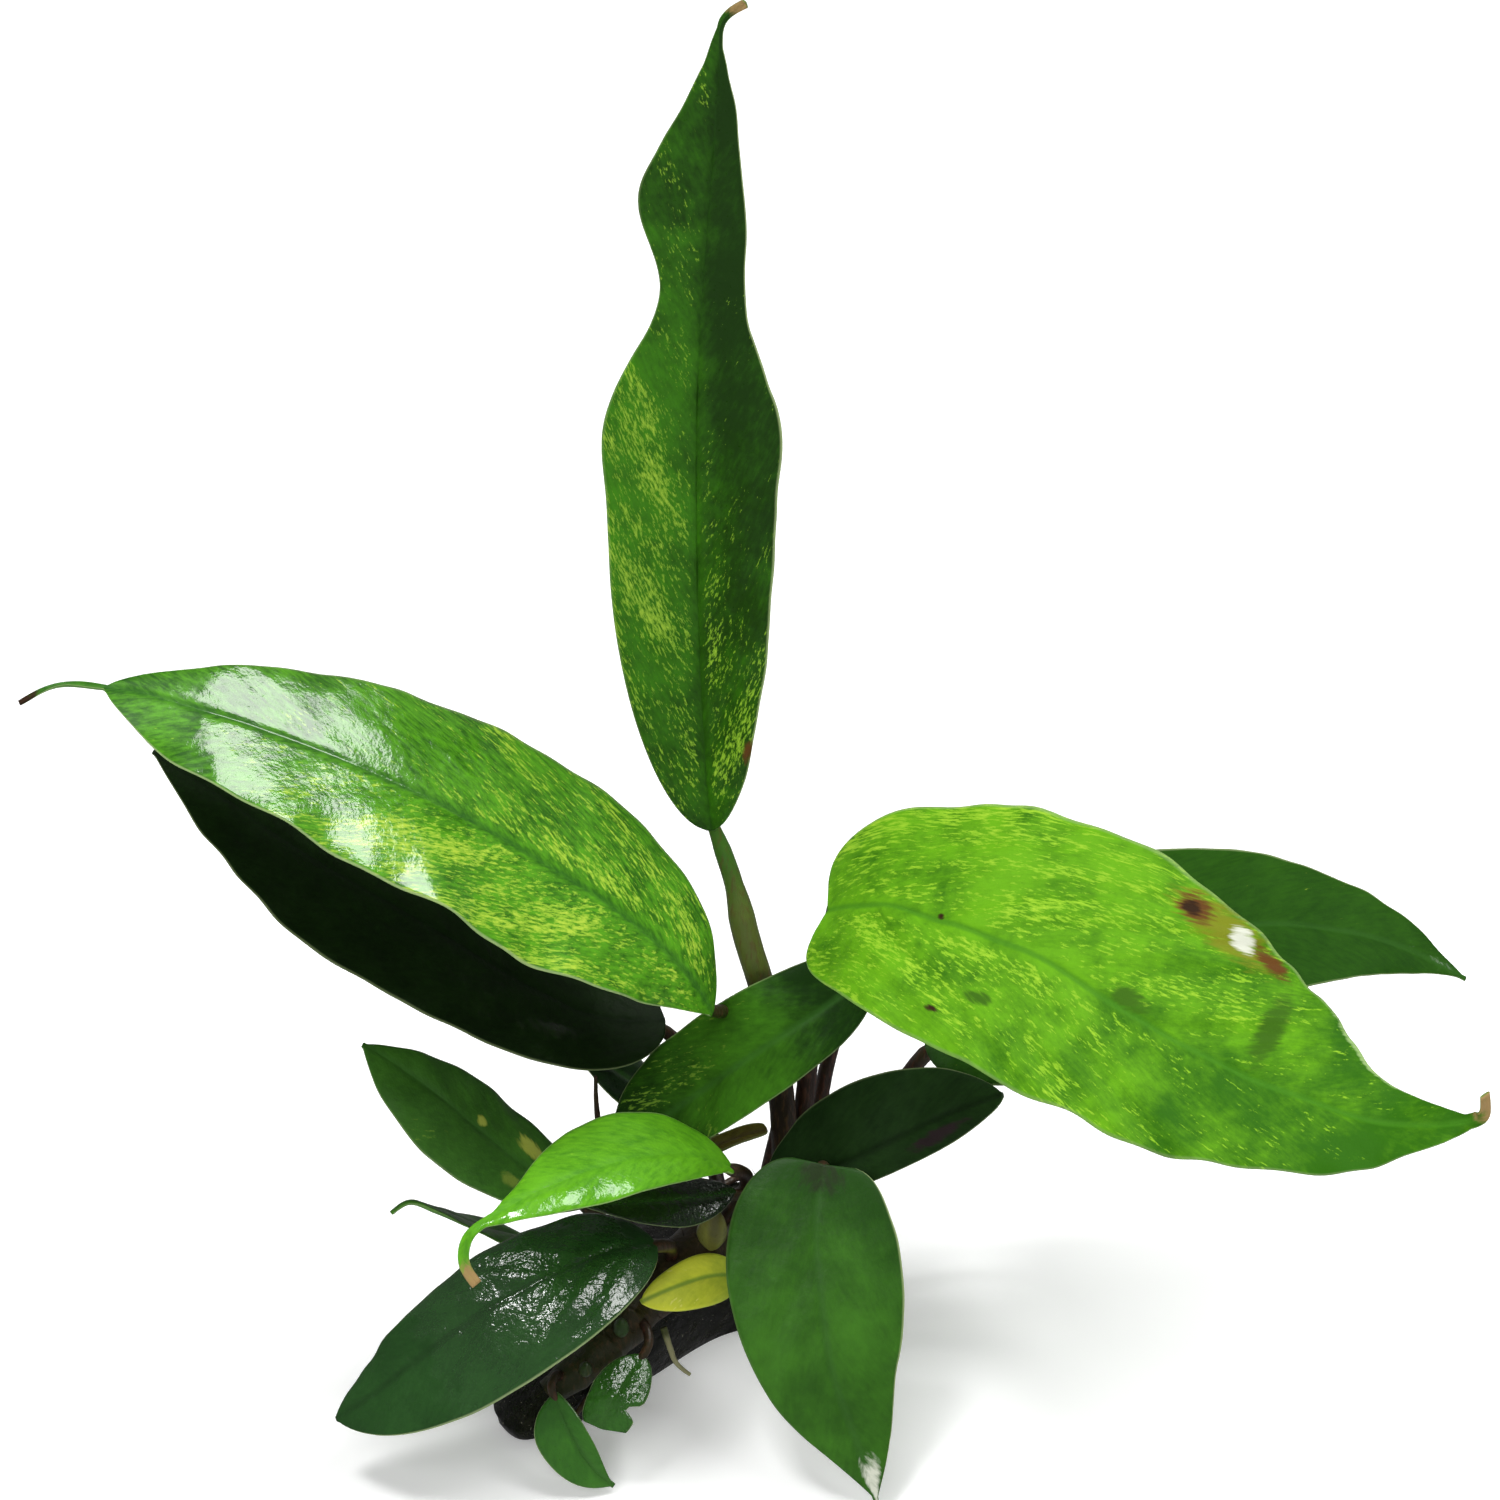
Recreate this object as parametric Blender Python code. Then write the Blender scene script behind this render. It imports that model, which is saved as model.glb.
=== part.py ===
"""Anubias on stone: a water plant whose creeping rhizome holds it to a dark, rounded stone.

The plant has a rhizome, long leaf stems, leathery blades, roots and a few buds, and each is its
own object. The origin is the centre of the stone's flat underside, on the surface that the stone
stands on. +Z is up, +X is to the right and -Y is the front.

Run it with blender --background --python part.py, or from Blender's text editor.
"""

import math
from dataclasses import dataclass

import bmesh
import bpy
from mathutils import Vector

MM = 0.001  # all sizes below are millimetres
GAP = 0.3  # clearance between pieces that touch
BLADE_THICKNESS = 0.6
THREAD_HALF_WIDTH = 0.5  # the least reach of a blade, at its base and along its drip tip
BLADE_COLUMNS = 4  # faces across a blade
STEM_SIDES = 1  # bevel resolution, which gives six sides
ROOT_RADIUS = 0.6
ROOT_KNOTS = 9

# The rhizome's middle line, from its cut end at the front left to its growing end, and its radius.
RHIZOME_LINE = (
    (-14, -19.5, 9),
    (-8.5, -16.5, 12),
    (-1, -7.5, 16),
    (7.5, 0.5, 18.5),
    (15.5, 7.5, 20),
    (24, 14.5, 21.5),
)
RHIZOME_RADII = (2.0, 3.4, 4.2, 4.2, 4.0, 2.2)
RHIZOME_KNOTS = 30
SCAR_EVERY = 3  # knots from one old leaf scar to the next
SCAR_RISE = 1.04  # how far a scar stands out, as a share of the radius

# The stone's plan at its widest level, counter-clockwise from the front left.
STONE_PLAN = (
    (-16.5, -20.5),
    (-3.6, -9.2),
    (9, 2.8),
    (20, 8),
    (28, 15.5),
    (25, 21.5),
    (10, 21.5),
    (-8, 14),
    (-20, -1),
    (-22, -13),
)
# The stone's side from the edge of its flat underside to its top: height and share of the plan.
STONE_HEIGHTS = (0, 1.0, 3.2, 6.0, 8.8, 10.8, 12.2, 12.9, 13.1)
STONE_SHARES = (0.80, 0.90, 0.98, 1.0, 0.95, 0.82, 0.58, 0.30, 0)
STONE_LOW_END = Vector((-0.74, -0.67, 0))  # the way to the low end of the stone
STONE_SLOPE = 0.0172  # how much lower each millimetre that way is, as a share of the height
STONE_TURN_STEPS = 34
STONE_SIDE_STEPS = 11


@dataclass(frozen=True)
class Half:
    """One half of a blade, from the midrib to the margin."""

    reach: float  # widest distance from the midrib
    place: float  # where that is, as a share of the blade's length
    base: float  # small for a round lobe at the stem, 1 for a wedge
    tip: float  # small for a blunt end, large for a long taper
    nips: tuple = ()  # (place, depth as a share, spread) where the margin is drawn in or let out


@dataclass(frozen=True)
class Blade:
    """A leaf blade: its midrib's points from the base, and the way its upper face looks."""

    colour: tuple
    base: tuple
    rib: tuple
    faces: tuple  # upper face at the base, the middle and the tip
    left: Half
    right: Half
    fold: float = 6  # degrees that each half rises from the midrib
    curl: tuple = (-12, -12)  # degrees that each half then turns up or down
    end: float = 1.0  # share of the length where the drip tip starts
    rows: int = 12


DEEP_GREEN = (0.02, 0.09, 0.012)
BRIGHT_GREEN = (0.10, 0.30, 0.02)
MID_GREEN = (0.04, 0.16, 0.015)
LIME_GREEN = (0.16, 0.42, 0.02)

BLADES = {
    "tall": Blade(
        MID_GREEN,
        (7, 13.5, 73.5),
        (
            (0, 0, 0),
            (-1, 4, 17),
            (-1.5, 6.5, 41),
            (-1, 6.5, 65),
            (0.5, 5, 86),
            (1.5, 4, 99.5),
            (2, 3.5, 105.5),
            (4.5, 1.5, 108),
        ),
        ((-0.15, -1, 0.15), (-0.1, -1, 0.2), (-0.05, -1, 0.1)),
        Half(11.2, 0.36, 0.7, 0.95, ((0.61, 0.4, 0.09), (0.78, -0.6, 0.09))),
        Half(11, 0.42, 0.68, 1.6, ((0.90, -0.5, 0.05),)),
        fold=30,
        curl=(-15, -15),
        end=0.93,
        rows=16,
    ),
    "left": Blade(
        MID_GREEN,
        (7, 3.5, 52),
        (
            (0, 0, 0),
            (-3.5, -2, 8),
            (-11, -4.5, 18),
            (-20.5, -7, 27),
            (-32, -10, 37),
            (-44.5, -12, 45),
            (-58.5, -13, 51.5),
            (-71, -13, 55),
            (-76, -13.5, 55.5),
            (-80.5, -14, 53.5),
        ),
        ((0.5, -0.55, 0.65), (0.42, -0.36, 0.84), (0.3, -0.45, 0.84)),
        Half(14.8, 0.42, 0.95, 0.62),
        Half(15, 0.38, 0.66, 0.85),
        fold=8,
        curl=(-12, -14),
        end=0.9,
        rows=18,
    ),
    "shaded": Blade(
        DEEP_GREEN,
        (1, 9.5, 47),
        (
            (0, 0, 0),
            (-7, -2, 1.5),
            (-18, -6, 10),
            (-30, -9, 21),
            (-42, -11, 31),
            (-53, -13, 41.5),
            (-60.5, -14, 48.5),
        ),
        ((0.5, -0.3, 0.8), (0.42, -0.36, 0.84), (0.4, -0.3, 0.86)),
        Half(12.3, 0.58, 0.43, 0.97),
        Half(13, 0.5, 0.4, 0.8),
        curl=(-16, -16),
        rows=13,
    ),
    "centre": Blade(
        MID_GREEN,
        (27, 6.5, 56),
        (
            (0, 0, 0),
            (-4.5, -1.5, -3.5),
            (-10.5, -3.5, -7),
            (-17, -3.7, -12.2),
            (-23, -4, -17.2),
            (-29.5, -5.5, -21.3),
            (-33, -6, -24),
        ),
        ((0.2, -0.55, 0.8), (0.1, -0.6, 0.8), (0, -0.6, 0.8)),
        Half(6.2, 0.47, 0.34, 0.42),
        Half(8.5, 0.64, 0.26, 0.9),
        fold=8,
        curl=(-10, -14),
        rows=10,
    ),
    "right": Blade(
        LIME_GREEN,
        (21, 1.5, 70),
        (
            (0, 0, 0),
            (5.5, -5, 4),
            (14, -12, 6),
            (25.5, -20, 5.5),
            (34.5, -26, 2.5),
            (43.5, -31, -0.5),
            (53.5, -36, -2.5),
            (63.5, -40, -3.5),
            (70, -43, -1.5),
            (73.5, -44, 0.5),
            (73.5, -44, 3.5),
        ),
        ((-0.1, -0.5, 0.85), (0.05, -0.5, 0.86), (0.2, -0.35, 0.9)),
        Half(20, 0.43, 0.4, 1.05),
        Half(16.5, 0.38, 0.42, 0.8, ((0.50, 0.06, 0.04),)),
        curl=(-10, -12),
        end=0.93,
        rows=18,
    ),
    "back": Blade(
        DEEP_GREEN,
        (35.5, 17.5, 37),
        (
            (0, 0, 0),
            (8.5, -2, 7.5),
            (19.5, -4, 16),
            (32, -6, 22),
            (44.5, -8, 24.5),
            (57, -10, 23.5),
            (68, -12, 19),
        ),
        ((0, -0.3, 0.9), (0.05, -0.35, 0.9), (0.2, -0.3, 0.9)),
        Half(14.8, 0.34, 0.33, 1.0),
        Half(16, 0.36, 0.6, 1.2),
        fold=8,
        curl=(-14, -14),
        rows=13,
    ),
    "split": Blade(
        DEEP_GREEN,
        (14.4, 1.7, 25.1),
        (
            (0, 0, 0),
            (4.1, -0.5, 1.9),
            (10.8, -1.8, 6.6),
            (17.6, -3, 11.5),
            (24.4, -4, 16.1),
            (29.8, -5, 19.2),
        ),
        ((0, -0.65, 0.76), (0, -0.6, 0.8), (0.2, -0.4, 0.9)),
        Half(9.4, 0.45, 0.42, 0.8),
        Half(4.1, 0.62, 0.6, 0.5),
        fold=8,
        rows=11,
    ),
    "front": Blade(
        MID_GREEN,
        (21.5, -3.5, 34),
        ((0, 0, 0), (-1, -5, -5), (-0.5, -12, -11.5), (1, -19, -19), (4, -24, -26), (6.5, -28, -32)),
        ((-0.05, -0.7, 0.7), (0, -0.75, 0.66), (0.1, -0.8, 0.6)),
        Half(10.8, 0.33, 0.3, 0.9),
        Half(11.8, 0.3, 0.34, 1.25),
        fold=4,
        curl=(-14, -12),
        rows=12,
    ),
    "lime": Blade(
        LIME_GREEN,
        (9.5, -4.5, 33.5),
        (
            (0, 0, 0),
            (-5, -4, 5),
            (-11.5, -9, 8.5),
            (-17.5, -14, 10),
            (-22.5, -18, 10.5),
            (-27.5, -21, 9.5),
            (-32, -24, 7.5),
            (-32.5, -25, 4.5),
            (-31, -26, 2),
        ),
        ((0.2, -0.3, 0.9), (0.1, -0.2, 0.95), (-0.3, -0.3, 0.9)),
        Half(5, 0.45, 0.87, 0.92),
        Half(7.8, 0.36, 0.5, 1.6),
        fold=6,
        curl=(-30, -14),
        end=0.8,
        rows=14,
    ),
    "spotted": Blade(
        DEEP_GREEN,
        (-9, -4.5, 27.5),
        ((0, 0, 0), (-3.5, -1, 3), (-9.5, -3, 10), (-15.5, -5, 18), (-21.5, -6, 25), (-27, -6, 29.5)),
        ((0.3, -0.4, 0.85), (0.3, -0.4, 0.85), (0.2, -0.4, 0.9)),
        Half(8.2, 0.66, 0.85, 0.9),
        Half(6.6, 0.42, 0.4, 0.9),
        fold=8,
        curl=(-12, -14),
        rows=10,
    ),
    "glossy": Blade(
        DEEP_GREEN,
        (0, -10.5, 26),
        (
            (0, 0, 0),
            (-5.5, -4, 2),
            (-12.5, -8, 1.5),
            (-20.5, -11, -1.5),
            (-28, -13, -6.5),
            (-34.5, -14, -12),
            (-40.5, -14, -17),
        ),
        ((0.2, -0.3, 0.95), (0.1, -0.45, 0.9), (-0.1, -0.5, 0.85)),
        Half(11, 0.5, 0.62, 0.76),
        Half(7.6, 0.33, 0.4, 0.6),
        curl=(-14, -24),
        rows=12,
    ),
    "tucked": Blade(
        DEEP_GREEN,
        (4, 11.5, 29),
        ((0, 0, 0), (-5, -1, 5.5), (-10.5, -2, 10.5), (-15.5, -3, 15)),
        ((0.2, -0.4, 0.9), (0.2, -0.4, 0.9), (0.2, -0.4, 0.9)),
        Half(4.2, 0.4, 0.5, 0.8),
        Half(3.8, 0.5, 0.45, 0.9),
        curl=(-10, -10),
        rows=7,
    ),
    "narrow": Blade(
        BRIGHT_GREEN,
        (-13, -0.5, 17),
        ((0, 0, 0), (-5.5, -2, 4), (-11.5, -4, 8), (-15.5, -6, 11.5), (-19, -7, 13.5), (-21, -8, 12.5)),
        ((0.2, 0.2, 0.97), (0.2, 0.25, 0.95), (0, 0.1, 0.95)),
        Half(3.4, 0.42, 0.6, 1.2),
        Half(3.2, 0.42, 0.6, 1.2),
        fold=4,
        curl=(-14, -14),
        end=0.86,
        rows=8,
    ),
    "yellow": Blade(
        (0.45, 0.45, 0.05),
        (10.5, -5.5, 17),
        ((0, 0, 0), (-4.5, -3, 2), (-9, -5.5, 2), (-12.5, -8, 2)),
        ((0.2, -0.6, 0.8), (0.1, -0.6, 0.8), (0, -0.6, 0.8)),
        Half(3.8, 0.42, 0.5, 0.6),
        Half(3.1, 0.3, 0.4, 0.7),
        curl=(-14, -14),
        rows=7,
    ),
    "torn": Blade(
        DEEP_GREEN,
        (-1.7, -17.6, 13.6),
        ((0, 0, 0), (-2, -3, -1), (-3.5, -6, -2), (-4.5, -7.5, -3.5), (-5, -8.5, -5)),
        ((0.05, -0.55, 0.85), (0, -0.5, 0.87), (-0.1, -0.5, 0.87)),
        Half(3.8, 0.55, 0.5, 0.1, ((0.68, 0.5, 0.06),)),
        Half(3.4, 0.6, 0.7, 0.12),
        curl=(-14, -14),
        rows=8,
    ),
    "small": Blade(
        MID_GREEN,
        (-13, -22.5, 11.5),
        ((0, 0, 0), (1, -1.5, -2), (2.5, -3.5, -4.5), (4.5, -5, -7.5), (7.5, -5.5, -10.5)),
        ((-0.1, -0.7, 0.7), (-0.2, -0.7, 0.7), (-0.2, -0.7, 0.7)),
        Half(2.2, 0.5, 0.6, 1.2),
        Half(4.6, 0.36, 0.72, 1.0),
        fold=16,
        curl=(-10, -10),
        rows=8,
    ),
    "wet": Blade(
        DEEP_GREEN,
        (10, -2.5, 28.5),
        ((0, 0, 0), (-4.5, -3, 1), (-11, -7, 3.5), (-16.5, -10, 5.5), (-20.5, -12, 7)),
        ((0.1, -0.4, 0.9), (0.1, -0.4, 0.9), (0.1, -0.4, 0.9)),
        Half(3.9, 0.42, 0.75, 1.6),
        Half(4.6, 0.45, 0.6, 0.9),
        curl=(-14, -20),
        rows=8,
    ),
    "scale": Blade(
        (0.20, 0.20, 0.05),
        (6.9, -5.2, 21),
        ((0, 0, 0), (0.5, -0.5, 3.6), (0.9, 0, 6.4)),
        ((0, -0.9, 0.4), (0, -0.9, 0.4), (0, -0.9, 0.4)),
        Half(2.6, 0.35, 0.4, 0.7),
        Half(1.9, 0.35, 0.4, 0.7),
        fold=0,
        curl=(-50, -50),
        rows=6,
    ),
    "husk": Blade(
        (0.18, 0.16, 0.03),
        (5.3, 7, 27.4),
        ((0, 0, 0), (2.8, 0.5, 1), (6, 1.2, 2), (9, 2, 2.5)),
        ((0, -0.5, 0.85), (0, -0.5, 0.85), (0, -0.5, 0.85)),
        Half(1.8, 0.5, 0.3, 0.3),
        Half(1.8, 0.5, 0.3, 0.3),
        fold=15,
        curl=(60, 60),
        rows=6,
    ),
}


@dataclass(frozen=True)
class Stem:
    """A leaf stem: points from under its blade to the rhizome's middle line, and end radii."""

    points: tuple
    radii: tuple  # at the blade and at the rhizome
    colour: tuple = (0.05, 0.03, 0.015)
    knots: int = 8
    slant: float = 0.1  # how far its lower end leans over on the rhizome
    under: bool = False  # whether it meets its blade from underneath


STEMS = {
    "tall": Stem(
        (
            (10, 13, 65.5),
            (11.5, 12, 58.5),
            (13.5, 11.5, 51),
            (15.5, 10, 40.5),
            (16.5, 8.8, 30),
            (16.5, 8.4, 20.1),
        ),
        (0.9, 1.7),
        (0.10, 0.08, 0.02),
    ),
    "right": Stem(
        (
            (20.9, 6, 67),
            (21.3, 10.3, 61),
            (21.8, 12.6, 54),
            (21.5, 12.6, 44),
            (20.4, 11.6, 32),
            (19, 10.3, 20.6),
        ),
        (1.0, 1.4),
    ),
    "centre": Stem(
        ((26.7, 9, 52.6), (25.8, 13.6, 47.5), (23.8, 16.8, 41), (22.2, 17, 34), (20.6, 11.9, 20.9)),
        (0.9, 1.1),
        under=True,
    ),
    "left": Stem(
        (
            (8.2, 6.8, 53),
            (9.6, 11.4, 51.6),
            (11, 13.8, 46.5),
            (12.6, 14.6, 40),
            (15, 14, 34),
            (15.9, 12.8, 28),
            (15, 11.2, 24),
            (13.6, 6, 19.7),
        ),
        (0.9, 1.2),
        slant=0.5,
    ),
    "shaded": Stem(
        ((3, 12.4, 44.3), (5, 14.5, 38), (6.5, 14, 30), (7, 11, 24), (8, 6, 21), (8.5, 1.4, 18.7)),
        (0.9, 1.1),
        slant=0.35,
    ),
    "back": Stem(
        ((33.5, 19, 35.5), (32, 18.2, 32), (28.5, 17, 28.5), (25, 15.4, 26), (22.8, 13.4, 21.2)),
        (1.1, 1.2),
    ),
    "split": Stem(((13.5, 2.6, 24.3), (14.1, 6.2, 19.7)), (0.7, 0.8), knots=4, slant=0.3),
    "front": Stem(
        ((21.4, -1.6, 31.6), (19.4, -3.4, 27.6), (15.6, -4, 23.2), (13.4, -0.6, 21), (11.4, 3.6, 19.3)),
        (0.9, 1.1),
        under=True,
    ),
    "lime": Stem(((10.8, -2.6, 31.6), (11.6, 0.8, 27.5), (11.2, 2.2, 23.5), (10.4, 3, 19)), (0.9, 1.0)),
    "spotted": Stem(((-7, -4, 24.8), (-3.5, -4.4, 20.5), (-1, -7.5, 16)), (0.8, 1.0)),
    "glossy": Stem(((1.4, -8.8, 24.4), (1.8, -6.4, 21.4), (1.9, -4.8, 16.9)), (0.9, 1.0)),
    "torn": Stem(((-1, -16.4, 14.8), (-1.4, -14.4, 15.6), (-4.5, -11, 14.5)), (0.6, 0.7), slant=0.3),
    "small": Stem(((-13.3, -22.2, 12.6), (-13, -21.2, 13), (-12, -18.5, 10)), (0.5, 0.7), knots=5),
    "narrow": Stem(((-11, -1, 16.4), (-7.5, -4, 16), (-3.5, -10.5, 14.7)), (0.6, 0.8)),
    "tucked": Stem(
        ((4.4, 10, 26.2), (4, 6.5, 23.5), (3.6, 1, 20.6), (3, -3.8, 17.1)),
        (0.6, 0.8),
        slant=0.3,
    ),
    "yellow": Stem(((11.5, -4.6, 16.9), (12.2, -2.6, 17.6), (12.9, 5.1, 19.5)), (0.7, 0.8), slant=0.4),
    "wet": Stem(((10.7, -1.6, 27), (9.2, -0.8, 24), (7.4, 0.4, 18.5)), (0.8, 0.9)),
}
YOUNG_LEAF = Stem(
    ((-8, 4, 42), (-8, 4, 38), (-7.5, 3.4, 32), (-6, 2, 25), (-3.5, -0.4, 20.5), (-0.5, -6.8, 16.2)),
    (0.25, 0.9),
    (0.06, 0.02, 0.015),
    slant=0.3,
)

# Roots that cling to the stone: the share of the rhizome's length where each leaves it, then its
# places on the stone from the top down, as the turn round the plan and the level up the side.
CLINGING_ROOTS = {
    "root_front_left": (0.22, ((0.07, 0.52), (0.05, 0.36), (0.025, 0.2))),
    "root_front_right": (0.66, ((0.235, 0.62), (0.25, 0.45), (0.262, 0.3), (0.255, 0.18))),
    "root_back_left": (0.36, ((0.78, 0.74), (0.775, 0.6), (0.765, 0.44), (0.775, 0.3), (0.765, 0.17))),
    "root_back_middle": (0.56, ((0.70, 0.78), (0.705, 0.62), (0.69, 0.45), (0.7, 0.3), (0.69, 0.17))),
    "root_back_right": (0.78, ((0.60, 0.74), (0.585, 0.58), (0.59, 0.42), (0.57, 0.3), (0.58, 0.17))),
    "root_right_end": (0.93, ((0.45, 0.84), (0.44, 0.7), (0.43, 0.55), (0.42, 0.38), (0.425, 0.2))),
}
FREE_ROOT = ((0.8, -11.6, 13.3), (1.6, -12.6, 10.8), (2.4, -13, 8.6), (4.2, -13.2, 6.8))
FREE_ROOT_RADII = (0.5, 0.25)
FREE_ROOT_KNOTS = 5
# Dormant buds: the share of the rhizome's length, the way out of it, and the bud's radius.
BUDS = {
    "bud_middle": (0.24, (0.1, -0.75, 0.66), 1.2),
    "bud_end": (0.09, (0.3, -0.7, 0.64), 1.0),
}
BUD_STRETCH = 1.25


def smooth_point(points, share):
    """A point on the smooth curve through these points, and the curve's direction there.

    The share runs from 0 at the first point to 1 at the last, by distance between the points.
    """
    points = [Vector(point) for point in points]
    knots = [0.0]
    for one, two in zip(points, points[1:]):
        knots.append(knots[-1] + (two - one).length)
    knots = [knot / knots[-1] for knot in knots]
    last = len(points) - 1
    steps = [(points[i + 1] - points[i]) / (knots[i + 1] - knots[i]) for i in range(last)]
    slopes = [None] * (last + 1)
    for i in range(1, last):
        before = knots[i] - knots[i - 1]
        after = knots[i + 1] - knots[i]
        slopes[i] = (steps[i - 1] * after + steps[i] * before) / (before + after)
    slopes[0] = 1.5 * steps[0] - 0.5 * slopes[1]
    slopes[last] = 1.5 * steps[-1] - 0.5 * slopes[last - 1]
    i = max(i for i in range(last) if knots[i] <= share or i == 0)
    span = knots[i + 1] - knots[i]
    s = (share - knots[i]) / span
    rise = s * s * (3 - 2 * s)
    place = points[i] * (1 - rise) + points[i + 1] * rise
    place += span * (slopes[i] * s * (1 - s) ** 2 - slopes[i + 1] * s * s * (1 - s))
    way = (points[i + 1] - points[i]) / span * 6 * s * (1 - s)
    way += slopes[i] * (1 - s) * (1 - 3 * s) + slopes[i + 1] * s * (3 * s - 2)
    return place, way.normalized()


def between(values, share):
    """The value at this share along a list, in straight steps."""
    place = share * (len(values) - 1)
    i = min(int(place), len(values) - 2)
    return values[i] + (values[i + 1] - values[i]) * (place - i)


def half_width(half, end, share):
    """How far a blade half reaches from the midrib at this share of its length."""
    if share < half.place:
        outline = (1 - (1 - share / half.place) ** 2) ** half.base
    else:
        run = min((share - half.place) / (end - half.place), 1)
        outline = (1 - run * run) ** half.tip
    for place, depth, spread in half.nips:
        outline *= 1 - depth * math.exp(-(((share - place) / spread) ** 2))
    return max(half.reach * outline, THREAD_HALF_WIDTH)


def across(width, fold, curl, share):
    """The offsets sideways and up at this share of a half's width: an arc that starts at the fold."""
    start = math.radians(fold)
    turn = math.radians(curl)
    if abs(turn) < 1e-6:
        return width * share * math.cos(start), width * share * math.sin(start)
    sideways = (math.sin(start + turn * share) - math.sin(start)) / turn
    up = (math.cos(start) - math.cos(start + turn * share)) / turn
    return width * sideways, width * up


def blade_frame(blade, share):
    """The midrib's point, and the sideways and upper-face directions there."""
    place, way = smooth_point(blade.rib, share)
    face = between([Vector(face).normalized() for face in blade.faces], share)
    face = (face - face.dot(way) * way).normalized()
    return place, way.cross(face), face


def blade_point(blade, share, v, lift):
    """A point of the blade: v runs from -1 at the left margin to 1 at the right one."""
    place, side, face = blade_frame(blade, share)
    half = blade.right if v > 0 else blade.left
    width = half_width(half, blade.end, share)
    sideways, up = across(width, blade.fold, blade.curl[v > 0], abs(v))
    return place + side * math.copysign(sideways, v) + face * (up + lift)


def make_material(name, colour, roughness):
    """A plain Principled material."""
    material = bpy.data.materials.new(name)
    material.use_nodes = True
    shader = material.node_tree.nodes["Principled BSDF"]
    shader.inputs["Base Color"].default_value = (*colour, 1)
    shader.inputs["Roughness"].default_value = roughness
    shader.inputs["Metallic"].default_value = 0
    material.diffuse_color = (*colour, 1)
    return material


def add_object(name, data, colour, roughness, parent=None, place=(0, 0, 0)):
    """Link an object with its own material, at a place in millimetres."""
    data.materials.append(make_material(name, colour, roughness))
    obj = bpy.data.objects.new(name, data)
    obj.location = Vector(place) * MM
    obj.parent = parent
    bpy.context.scene.collection.objects.link(obj)
    return obj


def mesh_from(name, bm):
    """Turn a bmesh in millimetres into a smooth mesh in metres."""
    bmesh.ops.scale(bm, vec=(MM, MM, MM), verts=bm.verts)
    bmesh.ops.recalc_face_normals(bm, faces=bm.faces)
    mesh = bpy.data.meshes.new(name)
    bm.to_mesh(mesh)
    bm.free()
    mesh.shade_smooth()
    mesh.set_sharp_from_angle(angle=math.radians(50))
    return mesh


def make_blade(name, blade, parent):
    """A closed blade with an upper and a lower skin and a thin margin all round."""
    bm = bmesh.new()
    lift = BLADE_THICKNESS / 2
    skins = []
    for side in (lift, -lift):
        skin = []
        for row in range(blade.rows + 1):
            even = row / blade.rows
            share = (even + (1 - math.cos(math.pi * even)) / 2) / 2  # closer together at both ends
            columns = [2 * column / BLADE_COLUMNS - 1 for column in range(BLADE_COLUMNS + 1)]
            skin.append([bm.verts.new(blade_point(blade, share, v, side)) for v in columns])
        skins.append(skin)
    for skin in skins:
        for low, high in zip(skin, skin[1:]):
            for i in range(BLADE_COLUMNS):
                bm.faces.new((low[i], low[i + 1], high[i + 1], high[i]))
    rims = []
    for skin in skins:
        right = [row[-1] for row in skin]
        left = [row[0] for row in skin]
        rims.append(skin[0] + right[1:] + skin[-1][-2::-1] + left[-2:0:-1])
    upper, lower = rims
    for i in range(len(upper)):
        after = (i + 1) % len(upper)
        bm.faces.new((upper[i], upper[after], lower[after], lower[i]))
    mesh = mesh_from(name, bm)
    return add_object(name, mesh, blade.colour, 0.35, parent, blade.base)


def make_tube(name, points, radii, colour, parent, sides=STEM_SIDES):
    """A tube with filled caps: a curve that is bevelled to the radius at each point."""
    curve = bpy.data.curves.new(name, "CURVE")
    curve.dimensions = "3D"
    curve.bevel_depth = MM
    curve.bevel_resolution = sides
    curve.use_fill_caps = True
    spline = curve.splines.new("POLY")
    spline.points.add(len(points) - 1)
    for knot, point, radius in zip(spline.points, points, radii):
        knot.co = (*(Vector(point) * MM), 1)
        knot.radius = radius
    spline.use_smooth = True
    return add_object(name, curve, colour, 0.5, parent)


def rhizome_at(share):
    """The rhizome's middle line and its radius at this share of its length."""
    place, _ = smooth_point(RHIZOME_LINE, share)
    return place, between(RHIZOME_RADII, share)


def outside_rhizome(point, clearance):
    """Whether a point lies at least this far outside the rhizome's surface."""
    for step in range(RHIZOME_KNOTS + 1):
        middle, radius = rhizome_at(step / RHIZOME_KNOTS)
        if (point - middle).length < radius + clearance:
            return False
    return True


def stop_at_rhizome(points, radii, knots, slant=0.0):
    """Even points along a route, cut where it meets the rhizome, with the radius at each.

    The slant is how far the tube's end leans over, from 0 for an end that meets the rhizome square.
    """
    clear, inside = 0.0, 1.0
    for _ in range(14):
        share = (clear + inside) / 2
        if outside_rhizome(smooth_point(points, share)[0], GAP + slant * radii[1]):
            clear = share
        else:
            inside = share
    shares = [knot / knots for knot in range(knots + 1)]
    places = [smooth_point(points, clear * share)[0] for share in shares]
    return places, [radii[0] + (radii[1] - radii[0]) * share for share in shares]


def make_stem(name, stem, blade, parent):
    """A stem that starts just clear of its blade's base and ends on the rhizome."""
    _, side, face = blade_frame(blade, 0)
    out = -face if stem.under else side.cross(face)
    base = Vector(blade.base)
    turn = min((Vector(stem.points[0]) - base).angle(out), math.pi / 2)
    skin = BLADE_THICKNESS / 2 if stem.under else 0
    start = base + out * (skin + GAP + stem.radii[0] * math.sin(turn))
    places, radii = stop_at_rhizome([start, *stem.points], stem.radii, stem.knots, stem.slant)
    return make_tube(name, places, radii, stem.colour, parent)


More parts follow.
